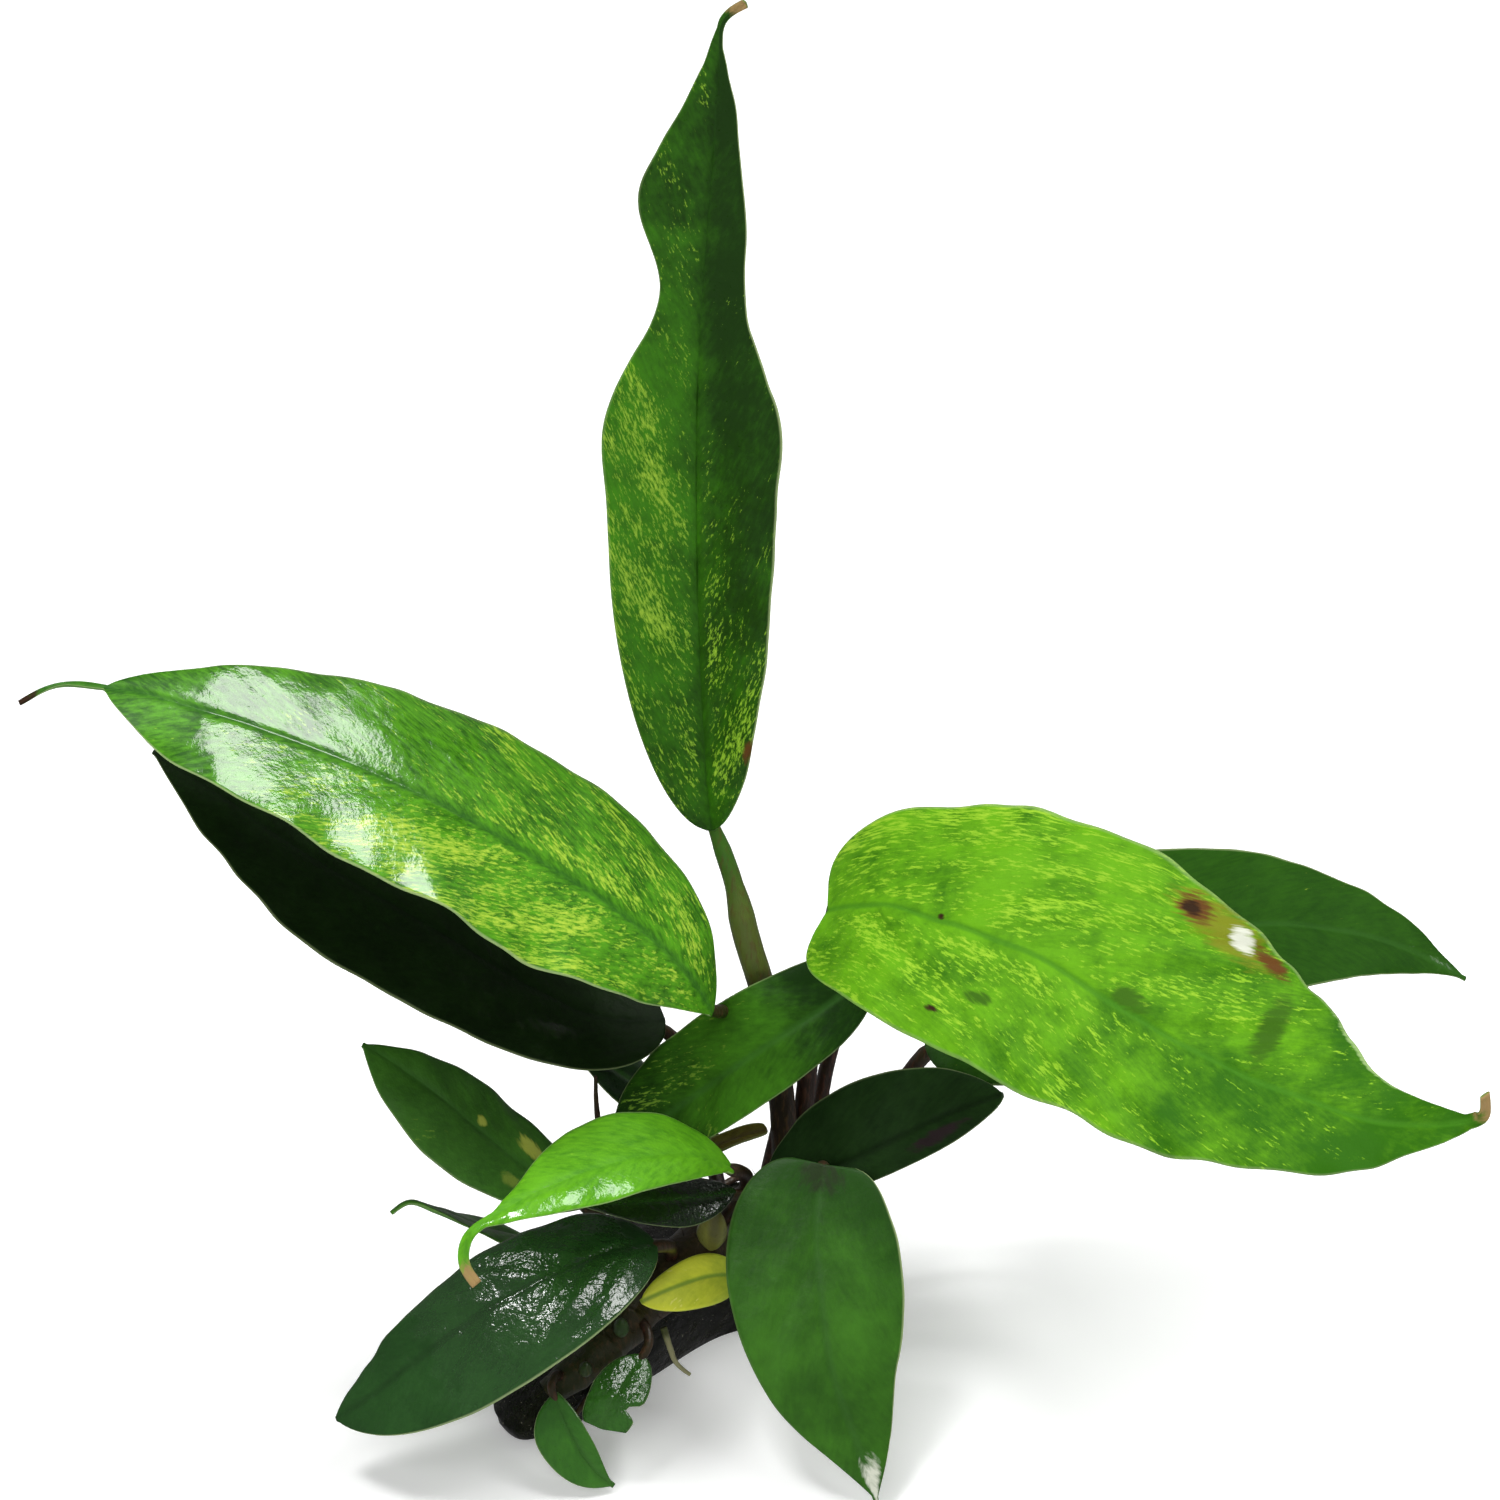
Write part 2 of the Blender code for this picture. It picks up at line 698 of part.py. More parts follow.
def make_rhizome(parent):
    """The creeping stem, with a slight ring at each old leaf scar."""
    knots = range(RHIZOME_KNOTS + 1)
    places = [rhizome_at(knot / RHIZOME_KNOTS)[0] for knot in knots]
    radii = [rhizome_at(knot / RHIZOME_KNOTS)[1] / SCAR_RISE for knot in knots]
    for knot in knots[::SCAR_EVERY]:
        radii[knot] *= SCAR_RISE
    return make_tube("rhizome", places, radii, (0.06, 0.03, 0.015), parent, sides=3)


def stone_point(turn, level):
    """A point of the stone: turn goes once round the plan, level climbs from its foot to its top."""
    count = len(STONE_PLAN)
    place = turn * count
    i = math.floor(place)
    s = place - i
    before, here, after, beyond = (Vector((*STONE_PLAN[(i + k) % count], 0)) for k in (-1, 0, 1, 2))
    edge = here * 2 + (after - before) * s + (2 * before - 5 * here + 4 * after - beyond) * s**2
    edge = (edge + (3 * here - before - 3 * after + beyond) * s**3) / 2
    point = edge * between(STONE_SHARES, level)
    point.z = between(STONE_HEIGHTS, level) * (1 - STONE_SLOPE * point.dot(STONE_LOW_END))
    return point


def stone_normal(turn, level):
    """The way out of the stone's surface."""
    along = stone_point(turn + 0.01, level) - stone_point(turn - 0.01, level)
    upward = stone_point(turn, min(level + 0.02, 1)) - stone_point(turn, level - 0.02)
    return along.cross(upward).normalized()


def make_stone(parent):
    """The stone: rings up its side, closed by a flat underside and a point at the top."""
    bm = bmesh.new()
    rings = []
    for step in range(STONE_SIDE_STEPS):
        level = step / STONE_SIDE_STEPS
        turns = [turn / STONE_TURN_STEPS for turn in range(STONE_TURN_STEPS)]
        rings.append([bm.verts.new(stone_point(turn, level)) for turn in turns])
    top = bm.verts.new(stone_point(0, 1))
    for low, high in zip(rings, rings[1:]):
        for i in range(STONE_TURN_STEPS):
            after = (i + 1) % STONE_TURN_STEPS
            bm.faces.new((low[i], low[after], high[after], high[i]))
    for i in range(STONE_TURN_STEPS):
        bm.faces.new((rings[-1][i], rings[-1][(i + 1) % STONE_TURN_STEPS], top))
    bm.faces.new(rings[0])
    return add_object("stone", mesh_from("stone", bm), (0.02, 0.018, 0.015), 0.4, parent)


def make_clinging_root(name, start, route, parent):
    """A root that leaves the rhizome and follows the stone's surface down."""
    clearance = ROOT_RADIUS + GAP + 0.2
    on_stone = [stone_point(*spot) + stone_normal(*spot) * clearance for spot in route]
    origin, _ = rhizome_at(start)
    points = [*reversed(on_stone), origin]
    places, radii = stop_at_rhizome(points, (ROOT_RADIUS * 0.5, ROOT_RADIUS), ROOT_KNOTS, 0.4)
    return make_tube(name, places, radii, (0.07, 0.04, 0.02), parent)


def make_bud(name, share, way, radius, parent):
    """A dormant bud: a small egg that points away from the rhizome."""
    middle, rhizome_radius = rhizome_at(share)
    way = Vector(way).normalized()
    bm = bmesh.new()
    bmesh.ops.create_uvsphere(bm, u_segments=10, v_segments=7, radius=radius)
    bmesh.ops.scale(bm, vec=(1, 1, BUD_STRETCH), verts=bm.verts)
    bmesh.ops.rotate(bm, matrix=Vector((0, 0, 1)).rotation_difference(way).to_matrix(), verts=bm.verts)
    place = middle + way * (rhizome_radius + GAP + radius * BUD_STRETCH)
    return add_object(name, mesh_from(name, bm), (0.05, 0.08, 0.02), 0.5, parent, place)


def main():
    """Clear the scene and build every piece under one empty."""
    for obj in list(bpy.data.objects):
        bpy.data.objects.remove(obj, do_unlink=True)
    plant = bpy.data.objects.new("anubias_on_stone", None)
    bpy.context.scene.collection.objects.link(plant)
    make_stone(plant)
    make_rhizome(plant)
    for name, blade in BLADES.items():
        make_blade("leaf_" + name, blade, plant)
    for name, stem in STEMS.items():
        make_stem("stem_" + name, stem, BLADES[name], plant)
    young = YOUNG_LEAF
    places, radii = stop_at_rhizome(young.points, young.radii, young.knots, young.slant)
    make_tube("young_leaf", places, radii, young.colour, plant)
    for name, (start, route) in CLINGING_ROOTS.items():
        make_clinging_root(name, start, route, plant)
    shares = [knot / FREE_ROOT_KNOTS for knot in range(FREE_ROOT_KNOTS + 1)]
    free = [smooth_point(FREE_ROOT, share)[0] for share in shares]
    radii = [between(FREE_ROOT_RADII, share) for share in shares]
    make_tube("root_free", free, radii, (0.07, 0.04, 0.02), plant)
    for name, (share, way, radius) in BUDS.items():
        make_bud(name, share, way, radius, plant)


if __name__ == "__main__":
    main()
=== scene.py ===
"""Anubias on stone: the looks of a water plant whose creeping rhizome holds it to a dark stone.

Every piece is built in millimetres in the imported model's frame: the origin is the centre of the
stone's flat underside, +Z is up, +X is to the right and -Y is the front. A leaf is one surface that
follows its midrib, and a stem, root or rhizome is a tube that follows its line.
"""

import logging
import math
from dataclasses import dataclass
from enum import Enum
from typing import Any

import bmesh
import bpy
import numpy as np
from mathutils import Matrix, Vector


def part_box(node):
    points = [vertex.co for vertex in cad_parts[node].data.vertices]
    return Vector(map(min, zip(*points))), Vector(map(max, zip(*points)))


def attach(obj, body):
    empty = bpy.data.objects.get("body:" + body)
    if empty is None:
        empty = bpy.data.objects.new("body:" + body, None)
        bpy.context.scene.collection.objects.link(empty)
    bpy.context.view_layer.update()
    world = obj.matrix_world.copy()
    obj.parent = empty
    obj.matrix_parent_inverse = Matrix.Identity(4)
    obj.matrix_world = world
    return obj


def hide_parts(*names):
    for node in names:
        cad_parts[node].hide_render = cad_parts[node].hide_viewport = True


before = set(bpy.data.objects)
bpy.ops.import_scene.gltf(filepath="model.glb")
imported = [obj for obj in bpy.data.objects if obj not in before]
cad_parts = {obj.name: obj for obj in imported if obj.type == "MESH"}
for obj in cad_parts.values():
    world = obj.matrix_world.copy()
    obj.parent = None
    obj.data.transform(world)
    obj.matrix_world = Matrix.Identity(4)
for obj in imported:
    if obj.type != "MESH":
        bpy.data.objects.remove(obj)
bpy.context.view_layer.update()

Colour = tuple[float, float, float]
Point = tuple[float, float, float]
Run = tuple[tuple[float, ...], tuple[float, ...]]
Value = Any  # a node socket, or a plain number or colour for one

MM = 0.001  # all sizes below are millimetres
PLACE_MAP = "Place"  # share of the length, and 0 to 1 from the left margin to the right one
VEIN_MAP = "Veins"  # which vein a point lies on, and its distance from the midrib, in decimetres
MAP_SCALE = 0.01  # from millimetres to the vein map

log = logging.getLogger("anubias")


class Slot(Enum):
    """The material slots of the part."""

    GREEN = "leaf_green"
    DARK = "leaf_dark"
    LIME = "leaf_lime"
    YELLOW = "leaf_yellow"
    OLD = "leaf_old"
    STEM = "stem"
    GREEN_STEM = "stem_green"
    RHIZOME = "rhizome"
    ROOT = "root"
    BUD = "bud"
    STONE = "stone"


@dataclass(frozen=True)
class Half:
    """One half of a blade, from the midrib to the margin."""

    reach: float  # widest distance from the midrib
    place: float  # where that is, as a share of the blade's length
    base: float  # small for a round lobe at the stem, 1 for a wedge
    tip: float  # small for a blunt end, large for a long taper
    nips: tuple[tuple[float, float, float], ...] = ()  # (place, depth as a share, spread)
    wave: float = 0.18  # how far the margin rises and falls
    wave_length: float = 17.0

    def widths(self, shares: np.ndarray, end: float, thread: float) -> np.ndarray:
        """How far the half reaches from the midrib.

        Args:
            shares: Places along the midrib, from 0 to 1.
            end: The share where the drip tip starts.
            thread: The least reach, at the base and along the drip tip.

        Returns:
            The reach at each place.
        """
        rising = np.clip(1 - (1 - shares / self.place) ** 2, 0, 1) ** self.base
        run = np.clip((shares - self.place) / (end - self.place), 0, 1)
        falling = (1 - run * run) ** self.tip
        outline = np.where(shares < self.place, rising, falling)
        for place, depth, spread in self.nips:
            outline = outline * (1 - depth * np.exp(-(((shares - place) / spread) ** 2)))
        return np.maximum(self.reach * outline, thread)


@dataclass(frozen=True)
class Blade:
    """A leaf blade's shape: its midrib's points from the base, and the way its upper face looks."""

    rib: tuple[Point, ...]
    faces: tuple[Point, ...]  # upper face at the base, the middle and the tip
    left: Half
    right: Half
    fold: float = 6.0  # degrees that each half rises from the midrib
    curl: tuple[float, float] = (-12, -12)  # degrees that each half then turns up or down
    end: float = 1.0  # share of the length where the drip tip starts
    thread: float = 0.35  # the least reach of each half, at the base and along the drip tip
    pucker: float = 0.1  # how far the surface swells between the veins
    vein_gap: float = 3.4  # along the midrib, from one side vein to the next
    vein_depth: float = 0.04
    lobe: float = 0.0  # how far the base reaches back, as a share of its reach
    groove: float = 0.14  # depth of the channel over the midrib


BLADES: dict[str, Blade] = {
    "tall": Blade(
        (
            (0, 0, 0),
            (-1, 4, 17),
            (-1.5, 6.5, 41),
            (-1, 6.5, 65),
            (0.5, 5, 86),
            (1.5, 4, 99.5),
            (2, 3.5, 105.5),
            (4.5, 1.5, 108),
        ),
        ((-0.15, -1, 0.15), (-0.1, -1, 0.2), (-0.05, -1, 0.1)),
        Half(11.4, 0.36, 0.55, 1.0, ((0.65, 0.4, 0.08), (0.79, -0.5, 0.08), (0.50, -0.12, 0.07))),
        Half(11, 0.42, 0.55, 1.6, ((0.90, -0.5, 0.05), (0.66, 0.28, 0.08), (0.50, -0.1, 0.06))),
        fold=30,
        curl=(-15, -15),
        end=0.97,
        thread=0.6,
    ),
    "left": Blade(
        (
            (0, 0, 0),
            (-3.5, -2, 8),
            (-11, -4.5, 18),
            (-20.5, -7, 27),
            (-32, -10, 37),
            (-44.5, -12, 45),
            (-58.5, -13, 51.5),
            (-71, -13, 55),
            (-76, -13.5, 55.5),
            (-80.5, -14, 53.5),
        ),
        ((0.5, -0.55, 0.65), (0.42, -0.36, 0.84), (0.3, -0.45, 0.84)),
        Half(14.8, 0.42, 0.95, 0.62, wave=0.7, wave_length=24),
        Half(15, 0.38, 0.66, 0.85),
        fold=8,
        curl=(-12, -14),
        end=0.9,
        pucker=0.03,
        vein_depth=0.02,
    ),
    "shaded": Blade(
        (
            (0, 0, 0),
            (-7, -2, 1.5),
            (-18, -6, 10),
            (-30, -9, 21),
            (-42, -11, 31),
            (-53, -13, 41.5),
            (-60.5, -14, 48.5),
        ),
        ((0.5, -0.3, 0.8), (0.42, -0.36, 0.84), (0.4, -0.3, 0.86)),
        Half(12.3, 0.58, 0.43, 0.97),
        Half(13, 0.5, 0.4, 0.8),
        curl=(-16, -16),
    ),
    "centre": Blade(
        (
            (0, 0, 0),
            (-4.5, -1.5, -3.5),
            (-10.5, -3.5, -7),
            (-17, -3.7, -12.2),
            (-23, -4, -17.2),
            (-29.5, -5.5, -21.3),
            (-33, -6, -24),
        ),
        ((0.2, -0.55, 0.8), (0.1, -0.6, 0.8), (0, -0.6, 0.8)),
        Half(6.2, 0.47, 0.34, 0.42),
        Half(8.5, 0.64, 0.26, 0.9),
        fold=8,
        curl=(-10, -14),
    ),
    "right": Blade(
        (
            (0, 0, 0),
            (5.5, -5, 4),
            (14, -12, 6),
            (25.5, -20, 5.5),
            (34.5, -26, 2.5),
            (43.5, -31, -0.5),
            (53.5, -36, -2.5),
            (63.5, -40, -3.5),
            (70, -43, -1.5),
            (73.5, -44, 0.5),
            (73.5, -44, 3.5),
        ),
        ((-0.1, -0.5, 0.85), (0.05, -0.5, 0.86), (0.2, -0.35, 0.9)),
        Half(20, 0.43, 0.32, 1.15, ((0.82, 0.24, 0.06),), wave=0.4),
        Half(16.5, 0.38, 0.36, 0.95, ((0.50, 0.06, 0.04),), wave=0.3),
        curl=(-10, -12),
        end=0.96,
        thread=0.8,
        pucker=0.2,
        lobe=0.5,
    ),
    "back": Blade(
        (
            (0, 0, 0),
            (8.5, -2, 7.5),
            (19.5, -4, 16),
            (32, -6, 22),
            (44.5, -8, 24.5),
            (57, -10, 23.5),
            (68, -12, 19),
        ),
        ((0, -0.3, 0.9), (0.05, -0.35, 0.9), (0.2, -0.3, 0.9)),
        Half(14.8, 0.34, 0.33, 1.0),
        Half(16, 0.36, 0.6, 1.2),
        fold=8,
        curl=(-14, -14),
    ),
    "split": Blade(
        (
            (0, 0, 0),
            (4.1, -0.5, 1.9),
            (10.8, -1.8, 6.6),
            (17.6, -3, 11.5),
            (24.4, -4, 16.1),
            (29.8, -5, 19.2),
        ),
        ((0, -0.65, 0.76), (0, -0.6, 0.8), (0.2, -0.4, 0.9)),
        Half(9.4, 0.45, 0.42, 0.8),
        Half(4.1, 0.62, 0.6, 0.5),
        fold=8,
    ),
    "front": Blade(
        ((0, 0, 0), (-1, -5, -5), (-0.5, -12, -11.5), (1, -19, -19), (4, -24, -26), (6.5, -28, -32)),
        ((-0.05, -0.7, 0.7), (0, -0.75, 0.66), (0.1, -0.8, 0.6)),
        Half(10.8, 0.33, 0.3, 1.05),
        Half(11.8, 0.3, 0.34, 1.25),
        fold=4,
        curl=(-14, -12),
        lobe=0.15,
    ),
    "lime": Blade(
        (
            (0, 0, 0),
            (-5, -4, 5),
            (-11.5, -9, 8.5),
            (-17.5, -14, 10),
            (-22.5, -18, 10.5),
            (-27.5, -21, 9.5),
            (-32, -24, 7.5),
            (-32.5, -25, 4.5),
            (-31, -26, 2),
        ),
        ((0.2, -0.3, 0.9), (0.1, -0.2, 0.95), (-0.3, -0.3, 0.9)),
        Half(5, 0.45, 0.87, 0.92),
        Half(7.8, 0.36, 0.5, 1.6),
        fold=6,
        curl=(-30, -14),
        end=0.84,
        thread=0.7,
    ),
    "spotted": Blade(
        ((0, 0, 0), (-3.5, -1, 3), (-9.5, -3, 10), (-15.5, -5, 18), (-21.5, -6, 25), (-27, -6, 29.5)),
        ((0.3, -0.4, 0.85), (0.3, -0.4, 0.85), (0.2, -0.4, 0.9)),
        Half(8.2, 0.66, 0.85, 0.9),
        Half(6.6, 0.42, 0.4, 0.9),
        fold=8,
        curl=(-12, -14),
    ),
    "glossy": Blade(
        (
            (0, 0, 0),
            (-5.5, -4, 2),
            (-12.5, -8, 1.5),
            (-20.5, -11, -1.5),
            (-28, -13, -6.5),
            (-34.5, -14, -12),
            (-40.5, -14, -17),
        ),
        ((0.2, -0.3, 0.95), (0.1, -0.45, 0.9), (-0.1, -0.5, 0.85)),
        Half(11, 0.5, 0.62, 0.76),
        Half(7.6, 0.33, 0.4, 0.6),
        curl=(-14, -24),
    ),
    "tucked": Blade(
        ((0, 0, 0), (-5, -1, 5.5), (-10.5, -2, 10.5), (-15.5, -3, 15)),
        ((0.2, -0.4, 0.9), (0.2, -0.4, 0.9), (0.2, -0.4, 0.9)),
        Half(4.2, 0.4, 0.5, 0.8),
        Half(3.8, 0.5, 0.45, 0.9),
        curl=(-10, -10),
    ),
    "narrow": Blade(
        ((0, 0, 0), (-5.5, -2, 4), (-11.5, -4, 8), (-15.5, -6, 11.5), (-19, -7, 13.5), (-21, -8, 12.5)),
        ((0.2, 0.2, 0.97), (0.2, 0.25, 0.95), (0, 0.1, 0.95)),
        Half(3.4, 0.42, 0.6, 1.2),
        Half(3.2, 0.42, 0.6, 1.2),
        fold=4,
        curl=(-14, -14),
        end=0.86,
    ),
    "yellow": Blade(
        ((0, 0, 0), (-4.5, -3, 2), (-9, -5.5, 2), (-12.5, -8, 2)),
        ((0.2, -0.6, 0.8), (0.1, -0.6, 0.8), (0, -0.6, 0.8)),
        Half(3.8, 0.42, 0.5, 0.6),
        Half(3.1, 0.3, 0.4, 0.7),
        curl=(-14, -14),
    ),
    "torn": Blade(
        ((0, 0, 0), (-2, -3, -1), (-3.5, -6, -2), (-4.5, -7.5, -3.5), (-5, -8.5, -5)),
        ((0.05, -0.55, 0.85), (0, -0.5, 0.87), (-0.1, -0.5, 0.87)),
        Half(3.8, 0.55, 0.5, 0.1, ((0.68, 0.5, 0.06),)),
        Half(3.4, 0.6, 0.7, 0.12),
        curl=(-14, -14),
    ),
    "small": Blade(
        ((0, 0, 0), (1, -1.5, -2), (2.5, -3.5, -4.5), (4.5, -5, -7.5), (7.5, -5.5, -10.5)),
        ((-0.1, -0.7, 0.7), (-0.2, -0.7, 0.7), (-0.2, -0.7, 0.7)),
        Half(2.2, 0.5, 0.6, 1.2),
        Half(4.6, 0.36, 0.72, 1.0),
        fold=16,
        curl=(-10, -10),
    ),
    "wet": Blade(
        ((0, 0, 0), (-4.5, -3, 1), (-11, -7, 3.5), (-16.5, -10, 5.5), (-20.5, -12, 7)),
        ((0.1, -0.4, 0.9), (0.1, -0.4, 0.9), (0.1, -0.4, 0.9)),
        Half(3.9, 0.42, 0.75, 1.6),
        Half(4.6, 0.45, 0.6, 0.9),
        curl=(-14, -20),
    ),
    "scale": Blade(
        ((0, 0, 0), (0.5, -0.5, 3.6), (0.9, 0, 6.4)),
        ((0, -0.9, 0.4), (0, -0.9, 0.4), (0, -0.9, 0.4)),
        Half(2.6, 0.35, 0.4, 0.7),
        Half(1.9, 0.35, 0.4, 0.7),
        fold=0,
        curl=(-50, -50),
    ),
    "husk": Blade(
        ((0, 0, 0), (2.8, 0.5, 1), (6, 1.2, 2), (9, 2, 2.5)),
        ((0, -0.5, 0.85), (0, -0.5, 0.85), (0, -0.5, 0.85)),
        Half(1.8, 0.5, 0.3, 0.3),
        Half(1.8, 0.5, 0.3, 0.3),
        fold=15,
        curl=(60, 60),
    ),
}


def smooth_line(points: Any, shares: np.ndarray) -> tuple[np.ndarray, np.ndarray]:
    """Places on the smooth curve through some points.

    Args:
        points: The points that the curve passes through, in order.
        shares: From 0 at the first point to 1 at the last, by distance between the points.

    Returns:
        The places, and the curve's direction at each.
    """
    points = np.asarray(points, float)
    legs = np.diff(points, axis=0)
    lengths = np.linalg.norm(legs, axis=1)
    knots = np.concatenate([[0.0], np.cumsum(lengths)]) / lengths.sum()
    spans = np.diff(knots)
    steps = legs / spans[:, None]
    slopes = np.empty_like(points)
    before = spans[:-1, None]
    after = spans[1:, None]
    slopes[1:-1] = (steps[:-1] * after + steps[1:] * before) / (before + after)
    slopes[0] = 1.5 * steps[0] - 0.5 * slopes[1]
    slopes[-1] = 1.5 * steps[-1] - 0.5 * slopes[-2]
    index = np.clip(np.searchsorted(knots, shares, side="right") - 1, 0, len(spans) - 1)
    span = spans[index][:, None]
    s = (shares[:, None] - knots[index][:, None]) / span
    rise = s * s * (3 - 2 * s)
    places = points[index] * (1 - rise) + points[index + 1] * rise
    places += span * (slopes[index] * s * (1 - s) ** 2 - slopes[index + 1] * s * s * (1 - s))
    ways = steps[index] * 6 * s * (1 - s)
    ways += slopes[index] * (1 - s) * (1 - 3 * s) + slopes[index + 1] * s * (3 * s - 2)
    return places, unit(ways)


def unit(vectors: np.ndarray) -> np.ndarray:
    """The same directions with a length of one."""
    return vectors / np.linalg.norm(vectors, axis=-1, keepdims=True)


def between(values: Any, shares: np.ndarray) -> np.ndarray:
    """Values at these shares along a list, in straight steps."""
    values = np.asarray(values, float)
    place = shares * (len(values) - 1)
    index = np.clip(place.astype(int), 0, len(values) - 2)
    rest = place - index
    if values.ndim > 1:
        rest = rest[:, None]
    return values[index] * (1 - rest) + values[index + 1] * rest


def swell(along: np.ndarray, across: np.ndarray, size: float, seed: int) -> np.ndarray:
    """A soft random relief of about -1 to 1.

    Args:
        along: First coordinate of each point.
        across: Second coordinate of each point.
        size: The usual distance between two swellings.
        seed: Which relief it is.

    Returns:
        The height at each point.
    """
    rng = np.random.default_rng(seed)
    total = np.zeros(np.broadcast(along, across).shape)
    waves = 9
    for _ in range(waves):
        turn = rng.uniform(0, 2 * math.pi)
        length = size * rng.uniform(0.7, 1.9)
        phase = rng.uniform(0, 2 * math.pi)
        path = along * math.cos(turn) + across * math.sin(turn)
        total += np.sin(path * 2 * math.pi / length + phase)
    return total / math.sqrt(waves)


def seat(points: np.ndarray, node: str) -> np.ndarray:
    """How far points move, in millimetres, to have their box's middle where a CAD node has its own."""
    low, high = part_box(node)
    middle = np.array((low + high) / 2) / MM
    return middle - (points.min(0) + points.max(0)) / 2


def add_piece(
    name: str, mesh: bpy.types.Mesh, nodes: tuple[str, ...] = ()
) -> bpy.types.Object:
    """Links a mesh as a piece that rides on the plant.

    Args:
        name: The piece's name.
        mesh: Its final mesh, in metres and in its place.
        nodes: The CAD nodes that it stands for.

    Returns:
        The new object.
    """
    piece = bpy.data.objects.new(name, mesh)
    bpy.context.scene.collection.objects.link(piece)
    if nodes:
        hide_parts(*nodes)
    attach(piece, "root")
    log.info("%s: %d faces", name, len(mesh.polygons))
    return piece


class Shader:
    """Builds a material's nodes, each from the sockets of those before it."""

    def __init__(self, name: str) -> None:
        """Starts a material with a Principled shader."""
        self.material = bpy.data.materials.new(name)
        self.material.use_nodes = True
        self.tree = self.material.node_tree
        self.surface = self.tree.nodes["Principled BSDF"]

    def add(self, kind: str, inputs: dict[Any, Value], **settings: Any) -> bpy.types.Node:
        """Adds a node.

        Args:
            kind: The node's type.
            inputs: What each input takes, by name or number: another node's socket or a plain value.
            settings: The node's own settings.

        Returns:
            The node.
        """
        node = self.tree.nodes.new(kind)
        for key, value in settings.items():
            setattr(node, key, value)
        for key, value in inputs.items():
            self.feed(node.inputs[key], value)
        return node

    def feed(self, socket: bpy.types.NodeSocket, value: Value) -> None:
        """Links a socket to another, or gives it a plain value."""
        if isinstance(value, bpy.types.NodeSocket):
            self.tree.links.new(value, socket)
        elif isinstance(value, tuple) and len(value) == 3 and socket.type == "RGBA":
            socket.default_value = (*value, 1.0)
        else:
            socket.default_value = value

    def math(self, operation: str, *values: Value) -> Value:
        """One step of arithmetic on numbers."""
        inputs = dict(enumerate(values))
        return self.add("ShaderNodeMath", inputs, operation=operation).outputs[0]

    def vector(self, operation: str, *values: Value) -> Value:
        """One step of arithmetic on vectors."""
        inputs = dict(enumerate(values))
        return self.add("ShaderNodeVectorMath", inputs, operation=operation).outputs[0]

    def map(self, name: str) -> Value:
        """A UV map of the piece."""
        return self.add("ShaderNodeUVMap", {}, uv_map=name).outputs[0]

    def attribute(self, name: str) -> Value:
        """An attribute of the piece, as a number."""
        return self.add("ShaderNodeAttribute", {}, attribute_name=name).outputs["Fac"]

    def place(self) -> Value:
        """The point's own place, in millimetres."""
        coordinates = self.add("ShaderNodeTexCoord", {}).outputs["Object"]
        return self.vector("MULTIPLY", coordinates, (1 / MM, 1 / MM, 1 / MM))

    def axes(self, vector: Value) -> list[Value]:
        """The three numbers of a vector."""
        return list(self.add("ShaderNodeSeparateXYZ", {0: vector}).outputs)

    def noise(self, vector: Value, size: float, detail: float = 2.0, rough: float = 0.5) -> Value:
        """A random pattern from 0 to 1 whose patches are about this size."""
        inputs = {"Vector": vector, "Scale": 1 / size, "Detail": detail, "Roughness": rough}
        return self.add("ShaderNodeTexNoise", inputs).outputs["Fac"]

    def step(self, value: Value, low: Value, high: Value) -> Value:
        """A soft step: 0 below the low value and 1 above the high one."""
        inputs = {"Value": value, "From Min": low, "From Max": high}
        node = self.add("ShaderNodeMapRange", inputs, interpolation_type="SMOOTHSTEP")
        return node.outputs["Result"]

    def mix(self, factor: Value, one: Value, two: Value) -> Value:
        """A colour between two others."""
        inputs = {0: factor, 6: one, 7: two}
        return self.add("ShaderNodeMix", inputs, data_type="RGBA").outputs[2]

    def bump(self, height: Value, strength: float, depth: float, under: Value = None) -> Value:
        """A normal for relief that is too fine for the mesh.

        Args:
            height: The relief, from 0 to 1.
            strength: How much of it shows.
            depth: Its depth, in millimetres.
            under: The normal of a coarser relief that this one lies on.

        Returns:
            The normal.
        """
        inputs = {"Height": height, "Strength": strength, "Distance": depth * MM}
        if under is not None:
            inputs["Normal"] = under
        return self.add("ShaderNodeBump", inputs).outputs[0]

    def finish(self, **inputs: Value) -> bpy.types.Material:
        """Sets the shader's own sockets, whose names are written with _ for a space."""
        for key, value in inputs.items():
            self.feed(self.surface.inputs[key.replace("_", " ")], value)
        return self.material


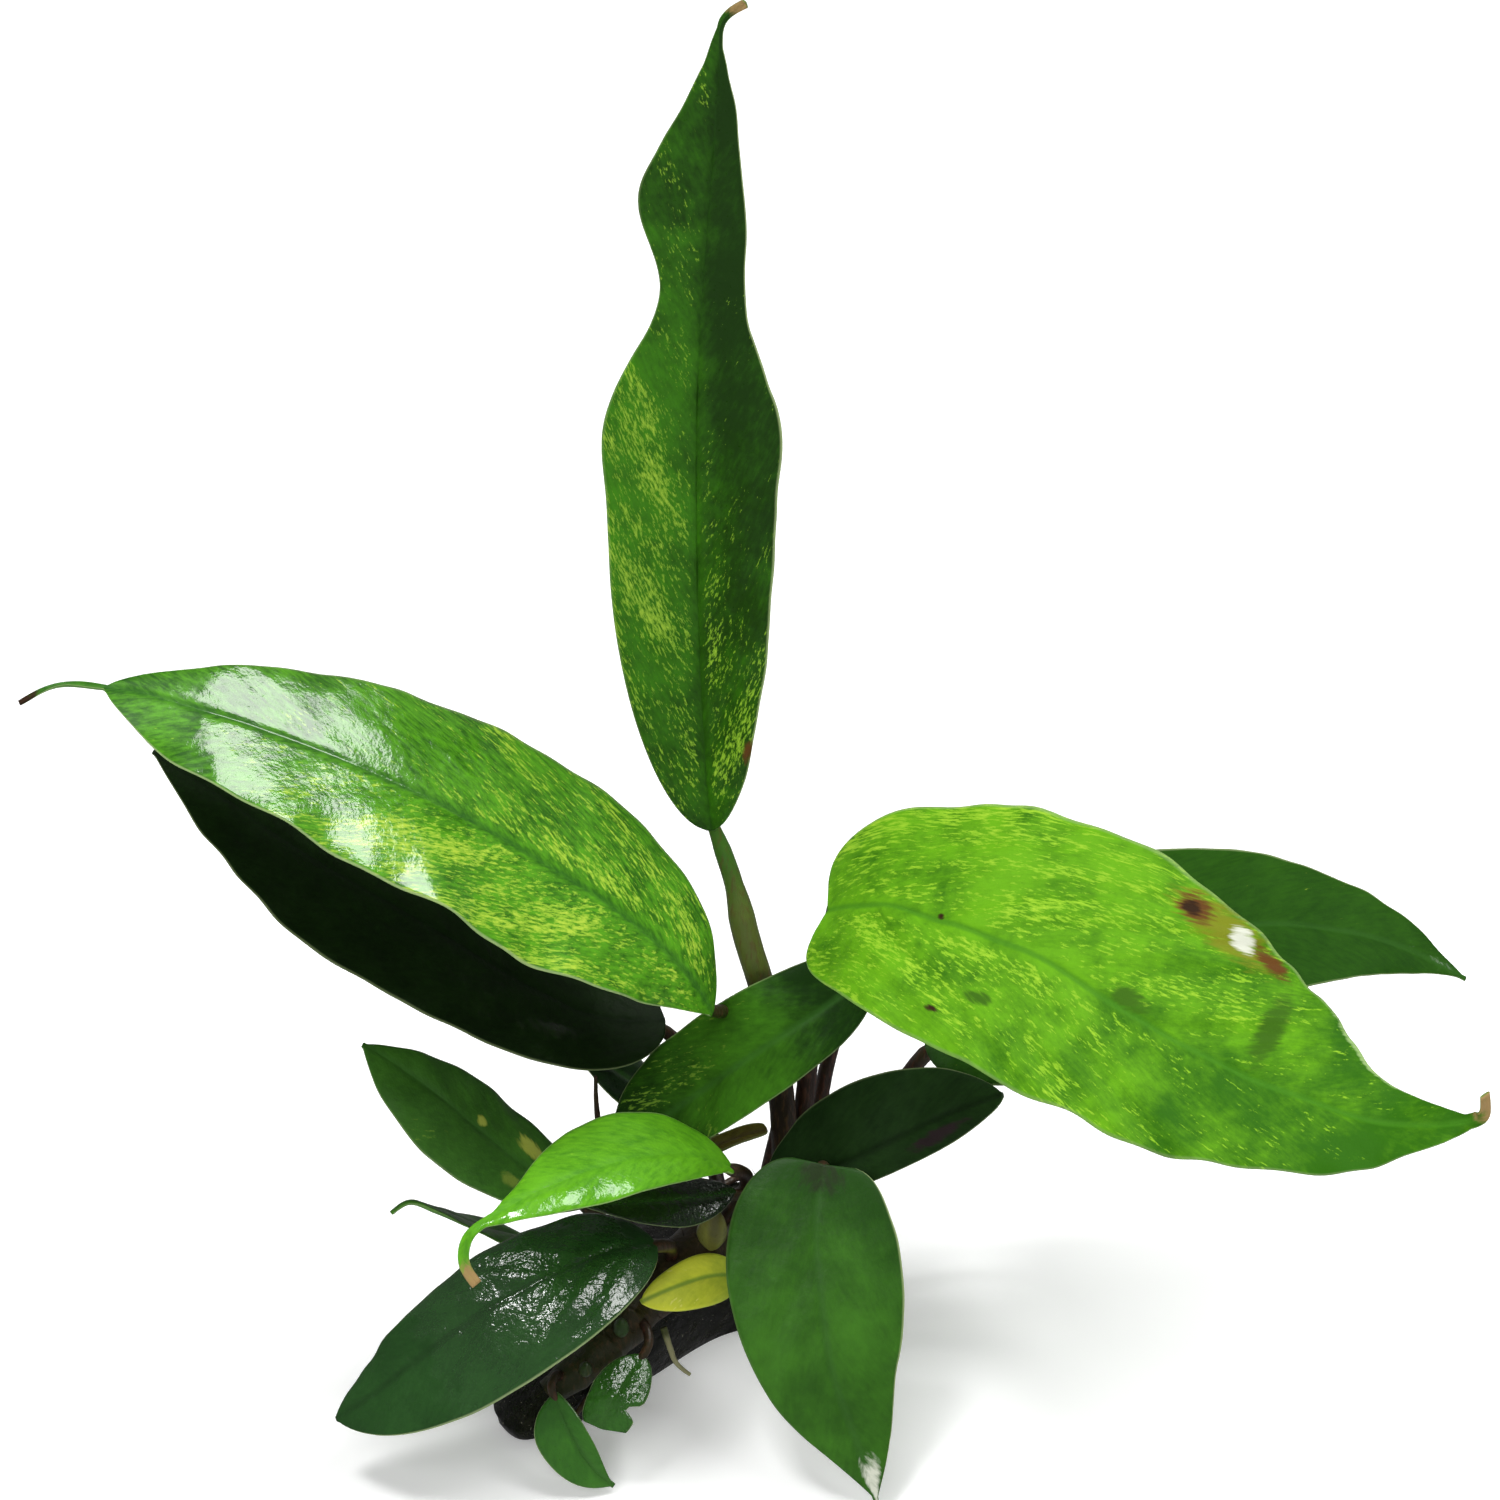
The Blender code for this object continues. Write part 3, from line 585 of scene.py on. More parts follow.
class Tree:
    """Builds a Geometry Nodes tree, and turns an object's mesh into its result."""

    def __init__(self, name: str) -> None:
        """Starts a tree that takes a mesh and gives a mesh."""
        self.group = bpy.data.node_groups.new(name, "GeometryNodeTree")
        self.sockets: dict[str, str] = {}
        self.values: dict[str, Value] = {}
        self.interface("Geometry", "NodeSocketGeometry", None)
        self.group.interface.new_socket("Geometry", in_out="OUTPUT", socket_type="NodeSocketGeometry")
        self.start = self.group.nodes.new("NodeGroupInput")
        self.end = self.group.nodes.new("NodeGroupOutput")

    def interface(self, name: str, kind: str, value: Value) -> None:
        """Gives the tree a named input with a value."""
        socket = self.group.interface.new_socket(name, in_out="INPUT", socket_type=kind)
        self.sockets[name] = socket.identifier
        self.values[name] = value

    def take(self, name: str) -> Value:
        """The socket of a named input."""
        return self.start.outputs[name]

    def add(self, kind: str, inputs: dict[Any, Value], **settings: Any) -> bpy.types.Node:
        """Adds a node, with its settings and with what each of its inputs takes."""
        node = self.group.nodes.new(kind)
        for key, value in settings.items():
            setattr(node, key, value)
        for key, value in inputs.items():
            if isinstance(value, bpy.types.NodeSocket):
                self.group.links.new(value, node.inputs[key])
            else:
                node.inputs[key].default_value = value
        return node

    def noise(self, size: Value, seed: Value, detail: float = 2.0) -> Value:
        """Random vectors from about -0.5 to 0.5 that change over this distance."""
        position = self.add("GeometryNodeInputPosition", {}).outputs[0]
        scale = self.add("ShaderNodeMath", {0: 1.0, 1: size}, operation="DIVIDE").outputs[0]
        inputs = {"Vector": position, "W": seed, "Scale": scale, "Detail": detail}
        colour = self.add("ShaderNodeTexNoise", inputs, noise_dimensions="4D").outputs["Color"]
        half = (0.5, 0.5, 0.5)
        return self.add("ShaderNodeVectorMath", {0: colour, 1: half}, operation="SUBTRACT").outputs[0]

    def swollen(self, geometry: Value, size: Value, height: Value, seed: Value) -> Value:
        """The geometry with its points moved in and out by random relief."""
        level = self.add("ShaderNodeSeparateXYZ", {0: self.noise(size, seed)}).outputs[0]
        rise = self.add("ShaderNodeMath", {0: level, 1: height}, operation="MULTIPLY").outputs[0]
        normal = self.add("GeometryNodeInputNormal", {}).outputs[0]
        offset = self.add("ShaderNodeVectorMath", {0: normal, "Scale": rise}, operation="SCALE")
        inputs = {"Geometry": geometry, "Offset": offset.outputs[0]}
        return self.add("GeometryNodeSetPosition", inputs).outputs[0]

    def close(self, geometry: Value, material: bpy.types.Material) -> None:
        """Ends the tree: real geometry, smooth, with its material."""
        real = self.add("GeometryNodeRealizeInstances", {"Geometry": geometry}).outputs[0]
        smooth = self.add("GeometryNodeSetShadeSmooth", {"Geometry": real}).outputs[0]
        dressed = self.add("GeometryNodeSetMaterial", {"Geometry": smooth, "Material": material})
        self.group.links.new(dressed.outputs[0], self.end.inputs[0])

    def apply(self, mesh: bpy.types.Mesh) -> bpy.types.Mesh:
        """Runs the tree on a mesh.

        Args:
            mesh: What the tree starts from.

        Returns:
            The result, as a plain mesh.
        """
        holder = bpy.data.objects.new(self.group.name, mesh)
        bpy.context.scene.collection.objects.link(holder)
        modifier = holder.modifiers.new("nodes", "NODES")
        modifier.node_group = self.group
        for name, value in self.values.items():
            if value is not None:
                modifier[self.sockets[name]] = value
        graph = bpy.context.evaluated_depsgraph_get()
        made = bpy.data.meshes.new_from_object(holder.evaluated_get(graph), depsgraph=graph)
        holder.modifiers.remove(modifier)
        bpy.data.objects.remove(holder)
        return made


def both(*levels: float) -> Run:
    """A run with the same levels in both halves of a blade."""
    return levels, levels


@dataclass(frozen=True)
class Spot:
    """A patch of another colour on a blade."""

    share: float  # place along the blade
    side: float  # place across it, from -1 at the left margin to 1 at the right one
    size: tuple[float, float]  # half its length along the blade and across it
    colour: Colour


MIDRIB_BLEND = (0.46, 0.54)  # across the blade, where one half's rim gives way to the other's
CLEAR_STRIP = (0.3, 1.6)  # distances from the midrib between which flecks begin
MARGIN_GLINT_START = (0.965, 0.995)  # shares of a half between which the painted highlight on its margin begins
SHORE = (0.42, 0.58)  # levels of the film between which a dry place turns wet
FLECK_LEVELS = (0.86, 0.50)  # how high the pattern must be for a fleck: on a plain and on a flecked leaf
FLECK_HALO = (-0.06, 0.02)  # levels round that one where the dim edge of a fleck begins
FLECK_HEART = (0.04, 0.13)  # levels above it where its bright middle begins
SPOT_EDGE = (1.6, 0.2)  # reach from a spot's middle where it begins, and where it is whole
UNDERSIDE = (0.10, 0.19, 0.06)  # the pale green that undersides lean to


@dataclass(frozen=True)
class LeafFinish:
    """The colours and the gloss of a blade.

    A run is a pair of lists, one for the left half and one for the right, of levels from 0 to about 1
    at even steps from the base to the tip.
    """

    deep: Colour  # the darkest green, near the veins
    fresh: Colour  # the green between them
    fleck: Colour = (0.36, 0.50, 0.05)
    fleck_size: float = 0.62
    fleck_stretch: float = 0.9  # small for flecks that are long along the veins
    tone: Run = both(0.5)  # how much of the fresh green shows
    flecks: Run = both(0.0)  # how flecked it is
    film: Run = both(1.0)  # where the water lies
    patch: float = 6.0  # size of the broad patches
    patchy: float = 0.9  # how much the broad patches show
    streaky: float = 0.6  # how much the fine streaks show
    rib: Colour = (0.03, 0.10, 0.015)
    rib_width: float = 0.5
    rib_shows: float = 0.5
    # the pale colour of the painted highlight along each margin
    rim: Colour = (0.35, 0.45, 0.2)
    margin_glints: tuple[float, float] = (0.3, 0.3)  # how bright the painted highlight on each margin's thin edge is
    roughness: float = 0.45
    gloss: float = 0.22  # the dry leaf's own specular level
    wet: float = 0.3  # how much water lies on it
    ripple: float = 0.3  # how uneven that water is
    spots: tuple[Spot, ...] = ()

    def runs(self) -> dict[str, Run]:
        """The runs that the mesh carries as attributes."""
        return {"tone": self.tone, "flecks": self.flecks, "film": self.film}

    def colour(self, shader: Shader, veins: Value, place: Value, size: tuple[float, float]) -> Value:
        """The blade's colour.

        Args:
            shader: The material it is for.
            veins: The vein map, in millimetres.
            place: The place map.
            size: The blade's length and width.

        Returns:
            The colour's socket.
        """
        share, side = shader.axes(place)[:2]
        across = shader.axes(veins)[1]
        half = shader.step(side, *MIDRIB_BLEND)
        line = shader.math("ABSOLUTE", across)
        patches = shader.noise(shader.place(), self.patch, 5.0, 0.64)
        fresh = shader.math("SUBTRACT", patches, 0.5)
        fresh = shader.math("MULTIPLY_ADD", fresh, self.patchy, shader.attribute("tone"))
        streaks = shader.noise(shader.vector("MULTIPLY", veins, (0.75, 0.9, 1.0)), 0.9, 4.0, 0.65)
        fresh = shader.math("MULTIPLY_ADD", shader.math("SUBTRACT", streaks, 0.5), self.streaky, fresh)
        colour = shader.mix(shader.step(fresh, 0.0, 1.0), self.deep, self.fresh)
        if max(map(max, self.flecks)) > 0:
            clear = shader.step(line, *CLEAR_STRIP)
            much = shader.math("MULTIPLY", shader.attribute("flecks"), clear)
            colour = self.flecked(shader, colour, veins, much)
        rib = shader.step(line, self.rib_width * 1.6, self.rib_width * 0.3)
        colour = shader.mix(shader.math("MULTIPLY", rib, self.rib_shows), colour, self.rib)
        # A painted highlight along each margin's thin edge.
        edge = shader.math("ABSOLUTE", shader.math("MULTIPLY_ADD", side, 2.0, -1.0))
        margin_glints = shader.math("MULTIPLY_ADD", half, self.margin_glints[1] - self.margin_glints[0], self.margin_glints[0])
        rim = shader.math("MULTIPLY", shader.step(edge, *MARGIN_GLINT_START), margin_glints)
        colour = shader.mix(rim, colour, self.rim)
        for spot in self.spots:
            colour = self.spotted(shader, colour, spot, (share, side), veins, size)
        return colour

    def flecked(self, shader: Shader, colour: Value, veins: Value, much: Value) -> Value:
        """The colour with short yellow flecks that lie along the veins.

        Args:
            shader: The material it is for.
            colour: The colour without flecks.
            veins: The vein map, in millimetres.
            much: How flecked each place is, from 0 to 1.

        Returns:
            The colour's socket.
        """
        drawn = shader.vector("MULTIPLY", veins, (0.75, self.fleck_stretch, 1.0))
        fine = shader.noise(drawn, self.fleck_size, 4.0, 0.68)
        zones = shader.noise(shader.vector("ADD", veins, (31.0, 7.0, 3.0)), 6.0, 3.0, 0.6)
        level = shader.math("MULTIPLY_ADD", shader.math("SUBTRACT", zones, 0.5), 0.6, fine)
        plain, flecked = FLECK_LEVELS
        edge = shader.math("MULTIPLY_ADD", much, flecked - plain, plain)
        level = shader.math("SUBTRACT", level, edge)
        dim = tuple(0.5 * fresh + 0.5 * fleck for fresh, fleck in zip(self.fresh, self.fleck))
        colour = shader.mix(shader.step(level, *FLECK_HALO), colour, dim)
        return shader.mix(shader.step(level, *FLECK_HEART), colour, self.fleck)

    def spotted(
        self,
        shader: Shader,
        colour: Value,
        spot: Spot,
        place: tuple[Value, Value],
        veins: Value,
        size: tuple[float, float],
    ) -> Value:
        """The colour with one spot that has an uneven edge.

        Args:
            shader: The material it is for.
            colour: The colour without the spot.
            spot: The spot.
            place: The place along the blade and the place across it, both from 0 to 1.
            veins: The vein map, in millimetres.
            size: The blade's length and width.

        Returns:
            The colour's socket.
        """
        along = shader.math("SUBTRACT", place[0], spot.share)
        along = shader.math("MULTIPLY", along, size[0] / spot.size[0])
        across = shader.math("SUBTRACT", place[1], spot.side / 2 + 0.5)
        across = shader.math("MULTIPLY", across, size[1] / spot.size[1])
        reach = shader.math("ADD", shader.math("POWER", along, 2.0), shader.math("POWER", across, 2.0))
        uneven = shader.noise(shader.vector("ADD", veins, (11.0, 5.0, 0.0)), 1.3, 3.0, 0.6)
        reach = shader.math("MULTIPLY_ADD", shader.math("SUBTRACT", uneven, 0.5), 3.2, reach)
        return shader.mix(shader.step(reach, *SPOT_EDGE), colour, spot.colour)

    def material(self, name: str, size: tuple[float, float]) -> bpy.types.Material:
        """The blade's material: green above, paler and duller below, wet on top.

        Args:
            name: The material's name.
            size: The blade's length and width.

        Returns:
            The material.
        """
        shader = Shader(name)
        grow = (1 / MAP_SCALE, 1 / MAP_SCALE, 0.0)
        veins = shader.vector("MULTIPLY", shader.map(VEIN_MAP), grow)
        own = shader.place()
        colour = self.colour(shader, veins, shader.map(PLACE_MAP), size)
        upper = shader.attribute("upper")
        fine = shader.noise(own, 0.35, 3.0, 0.6)
        pale = shader.mix(0.55, self.fresh, UNDERSIDE)
        pale = shader.mix(shader.math("MULTIPLY", fine, 0.5), pale, self.deep)
        colour = shader.mix(upper, pale, colour)
        shore = shader.math("SUBTRACT", shader.noise(own, 3.0, 4.0, 0.6), 0.5)
        film = shader.math("MULTIPLY_ADD", shore, 0.9, shader.attribute("film"))
        film = shader.math("MULTIPLY", shader.step(film, *SHORE), upper)
        roughness = shader.math("MULTIPLY_ADD", film, -0.45 * self.roughness, self.roughness)
        roughness = shader.math("MULTIPLY_ADD", fine, 0.08, roughness)
        water = shader.noise(own, 1.5, 3.0, 0.6)
        normal = shader.bump(water, self.ripple, 0.45)
        normal = shader.bump(fine, 0.3, 0.05, normal)
        return shader.finish(
            Base_Color=colour,
            Roughness=roughness,
            Specular_IOR_Level=self.gloss,
            Coat_Weight=shader.math("MULTIPLY", film, self.wet),
            Coat_Roughness=0.07,
            Coat_IOR=1.6,
            Normal=normal,
            Coat_Normal=normal,
        )


@dataclass(frozen=True)
class Leaf:
    """A leaf blade with its relief, its veins and its thin margin."""

    name: str
    blade: Blade
    finish: LeafFinish
    slot: Slot
    seed: int
    thickness: float = 0.42
    margin: float = 0.12  # thickness at the margin
    step: float = 0.5  # the usual size of a face
    row_crowding: float = 0.4  # how much closer the rows lie at both ends
    column_crowding: float = 1.25  # above 1 where columns lie closer at the midrib
    lobe_share: float = 0.14  # share of the length over which the base reaches back
    vein_lean: float = 1.2  # how far up a side vein runs for each millimetre across
    vein_bend: float = 0.045  # how much more it does so further out
    vein_start: float = 1.2  # distance from the midrib over which the side veins begin
    vein_width: float = 0.25  # of half the gap between two side veins
    end_fade: float = 6.0  # distance from both ends over which the relief begins
    small_waves: float = 0.45  # height of the margin's small waves, as a share of the large ones'
    small_length: float = 0.43  # length of those, as a share of the large ones'
    swelling_size: float = 7.0  # the usual distance between two swellings
    swelling_stretch: float = 0.7  # below 1 where swellings are long across the veins
    groove_width: float = 0.55  # of the channel over the midrib, on each side
    trough: float = 2.2  # how far from the midrib the fold is rounded off
    keel: float = 0.8  # how far the midrib stands out underneath, at the base
    keel_width: float = 0.9  # of that, on each side
    half_blend: float = 1.2  # how sharply one half's levels give way to the other's

    @property
    def node(self) -> str:
        """The CAD node that the blade stands for."""
        return "leaf_" + self.name

    @property
    def length(self) -> float:
        """The midrib's length."""
        points = np.asarray(self.blade.rib, float)
        return float(np.linalg.norm(np.diff(points, axis=0), axis=1).sum())

    def grid(self) -> tuple[np.ndarray, np.ndarray]:
        """The shares of the rows, closer at both ends, and the places of the columns, closer at the rib.

        Returns:
            The rows' shares from 0 to 1, and the columns' places from -1 to 1.
        """
        rows = max(24, int(self.length / self.step))
        even = np.linspace(0, 1, rows + 1)
        crowded = (1 - np.cos(math.pi * even)) / 2
        shares = (1 - self.row_crowding) * even + self.row_crowding * crowded
        reach = max(self.blade.left.reach, self.blade.right.reach)
        columns = max(10, int(reach / self.step))
        even = np.linspace(-1, 1, 2 * columns + 1)
        return shares, np.sign(even) * np.abs(even) ** self.column_crowding

    def skin(self, shares: np.ndarray, sides: np.ndarray) -> dict[str, np.ndarray]:
        """The blade's smooth middle surface.

        Args:
            shares: Places along the midrib.
            sides: Places across, from -1 at the left margin to 1 at the right one.

        Returns:
            The points, the normals, and for each point its distance along and across the blade.
        """
        blade = self.blade
        places, ways = smooth_line(blade.rib, shares)
        faces = between(unit(np.asarray(blade.faces, float)), shares)
        faces = unit(faces - (faces * ways).sum(1, keepdims=True) * ways)
        over = np.cross(ways, faces)
        right = sides[None, :] > 0
        widths = np.where(
            right,
            blade.right.widths(shares, blade.end, blade.thread)[:, None],
            blade.left.widths(shares, blade.end, blade.thread)[:, None],
        )
        start = math.radians(blade.fold)
        turn = np.radians(np.where(right, blade.curl[1], blade.curl[0]))
        angle = start + turn * np.abs(sides)[None, :]
        sideways = widths * (np.sin(angle) - math.sin(start)) / turn * np.sign(sides)[None, :]
        up = widths * (math.cos(start) - np.cos(angle)) / turn
        points = places[:, None] + over[:, None] * sideways[..., None] + faces[:, None] * up[..., None]
        back = np.clip(1 - shares / self.lobe_share, 0, 1)[:, None] ** 2 * blade.lobe * np.abs(sideways)
        points = points - ways[:, None] * back[..., None]
        lean = np.sin(angle) * np.sign(sides)[None, :] * np.ones_like(widths)
        normals = faces[:, None] * np.cos(angle)[..., None] - over[:, None] * lean[..., None]
        across = widths * sides[None, :]
        along = np.broadcast_to(shares[:, None] * self.length, across.shape)
        return {"points": points, "normals": normals, "along": along, "across": across}

    def vein_place(self, along: np.ndarray, across: np.ndarray) -> np.ndarray:
        """Where the side vein through each point leaves the midrib. Veins bend towards the tip."""
        reach = np.abs(across)
        return along - self.vein_lean * reach - self.vein_bend * reach**2

    def relief(self, skin: dict[str, np.ndarray], sides: np.ndarray) -> np.ndarray:
        """How far the upper face rises: waves, swellings, veins and the midrib's channel.

        Args:
            skin: The blade's middle surface.
            sides: Places across, from -1 at the left margin to 1 at the right one.

        Returns:
            The height at each point.
        """
        blade = self.blade
        along = skin["along"]
        across = skin["across"]
        edge = np.abs(sides)[None, :]
        vein = self.vein_place(along, across)
        ends = np.clip(np.minimum(along, self.length - along) / self.end_fade, 0, 1)
        height = np.zeros_like(along)
        for number, (half, side) in enumerate(((blade.left, -1), (blade.right, 1))):
            phase = self.seed * 1.7 + number * 2.1
            wave = np.sin(2 * math.pi * along / half.wave_length + phase)
            small = 2 * math.pi * along / (half.wave_length * self.small_length)
            wave += self.small_waves * np.sin(small + 2 * phase)
            height += np.where(sides[None, :] * side > 0, half.wave * wave * edge**3, 0)
        drawn = across * self.swelling_stretch
        height += blade.pucker * swell(vein, drawn, self.swelling_size, self.seed)
        cut = np.abs((vein / blade.vein_gap) % 1 - 0.5) * 2
        fade = np.clip(np.abs(across) / self.vein_start, 0, 1) * (1 - edge**4)
        height -= blade.vein_depth * np.exp(-((cut / self.vein_width) ** 2)) * fade
        height -= blade.groove * np.exp(-((across / self.groove_width) ** 2))
        rise = 0.5 * self.trough * math.tan(math.radians(blade.fold))
        height += rise * np.exp(-((across / self.trough) ** 2))
        return height * ends

    def mesh(self) -> bpy.types.Mesh:
        """The blade as a closed mesh with its two maps and its material."""
        shares, sides = self.grid()
        skin = self.skin(shares, sides)
        plain = skin["points"]
        shift = seat(plain.reshape(-1, 3), self.node)
        relief = self.relief(skin, sides)
        edge = np.abs(sides)[None, :]
        half = (self.thickness + (self.margin - self.thickness) * edge**6) / 2
        keel = self.keel * (1 - shares[:, None]) ** 0.7
        keel = keel * np.exp(-((skin["across"] / self.keel_width) ** 2))
        upper = plain + skin["normals"] * (relief + half)[..., None]
        lower = plain + skin["normals"] * (relief - half - keel)[..., None]
        rows, columns = skin["along"].shape
        points = np.concatenate([upper.reshape(-1, 3), lower.reshape(-1, 3)]) + shift
        mesh = bpy.data.meshes.new(self.name)
        mesh.from_pydata(points * MM, [], closed_faces(rows, columns))
        share = np.broadcast_to(shares[:, None], relief.shape)
        place = np.stack([share, np.broadcast_to(0.5 + 0.5 * sides[None, :], relief.shape)], -1)
        vein = np.stack([self.vein_place(skin["along"], skin["across"]), skin["across"]], -1) * MAP_SCALE
        for name, values in ((PLACE_MAP, place), (VEIN_MAP, vein)):
            add_map(mesh, name, np.tile(values.reshape(-1, 2), (2, 1)))
        add_level(mesh, "upper", np.repeat([1.0, 0.0], rows * columns))
        for name, (left, right) in self.finish.runs().items():
            blend = np.clip(0.5 + sides * self.half_blend, 0, 1)[None, :]
            levels = spread(left, shares) * (1 - blend) + spread(right, shares) * blend
            add_level(mesh, name, np.tile(levels.ravel(), 2))
        width = self.blade.left.reach + self.blade.right.reach
        mesh.materials.append(self.finish.material(self.node, (self.length, width)))
        mesh.shade_smooth()
        mesh.validate()
        return mesh

    def build(self) -> bpy.types.Object:
        """Makes the blade's piece."""
        return add_piece("blade_" + self.name, self.mesh(), (self.node,))


def closed_faces(rows: int, columns: int) -> list[tuple[int, ...]]:
    """The faces of an upper grid of points and a lower one, and those round their rim.

    Args:
        rows: The rows of each grid.
        columns: The columns of each grid.

    Returns:
        The points of each face. The lower grid's points are numbered after the upper one's.
    """
    count = rows * columns
    faces = []
    for row in range(rows - 1):
        for column in range(columns - 1):
            a = row * columns + column
            quad = (a, a + 1, a + columns + 1, a + columns)
            faces.append(quad)
            faces.append(tuple(count + i for i in reversed(quad)))
    rim = list(range(columns))
    rim += [row * columns + columns - 1 for row in range(1, rows)]
    rim += [(rows - 1) * columns + column for column in range(columns - 2, -1, -1)]
    rim += [row * columns for row in range(rows - 2, 0, -1)]
    for here, after in zip(rim, rim[1:] + rim[:1]):
        faces.append((here, count + here, count + after, after))
    return faces


def spread(levels: tuple[float, ...], shares: np.ndarray) -> np.ndarray:
    """The levels of one half's run at these shares, as a column."""
    if len(levels) == 1:
        return np.full((len(shares), 1), levels[0])
    return between(levels, shares)[:, None]


def add_level(mesh: bpy.types.Mesh, name: str, values: np.ndarray) -> None:
    """Gives a mesh an attribute with one number for each point."""
    attribute = mesh.attributes.new(name, "FLOAT", "POINT")
    attribute.data.foreach_set("value", values.astype(np.float32))


def add_map(mesh: bpy.types.Mesh, name: str, values: np.ndarray) -> None:
    """Gives a mesh a UV map from one pair of numbers for each point."""
    corners = np.empty(len(mesh.loops), np.int32)
    mesh.loops.foreach_get("vertex_index", corners)
    layer = mesh.uv_layers.new(name=name)
    layer.uv.foreach_set("vector", values[corners].astype(np.float32).ravel())


DEAD_BROWN = (0.110, 0.045, 0.010)
DEAD_DARK = (0.030, 0.014, 0.006)
# Darker green: painted shade where the right leaf bends, which also covers small dark marks there.
SHADE_AND_MARK_GREEN = (0.040, 0.120, 0.006)
TAN = (0.300, 0.200, 0.080)
# A near-white patch: a painted highlight on the right leaf, and a pale patch at the front leaf's tip.
PALE_PATCH_AND_GLINT = (0.60, 0.62, 0.52)
SOFT_YELLOW = (0.36, 0.40, 0.06)

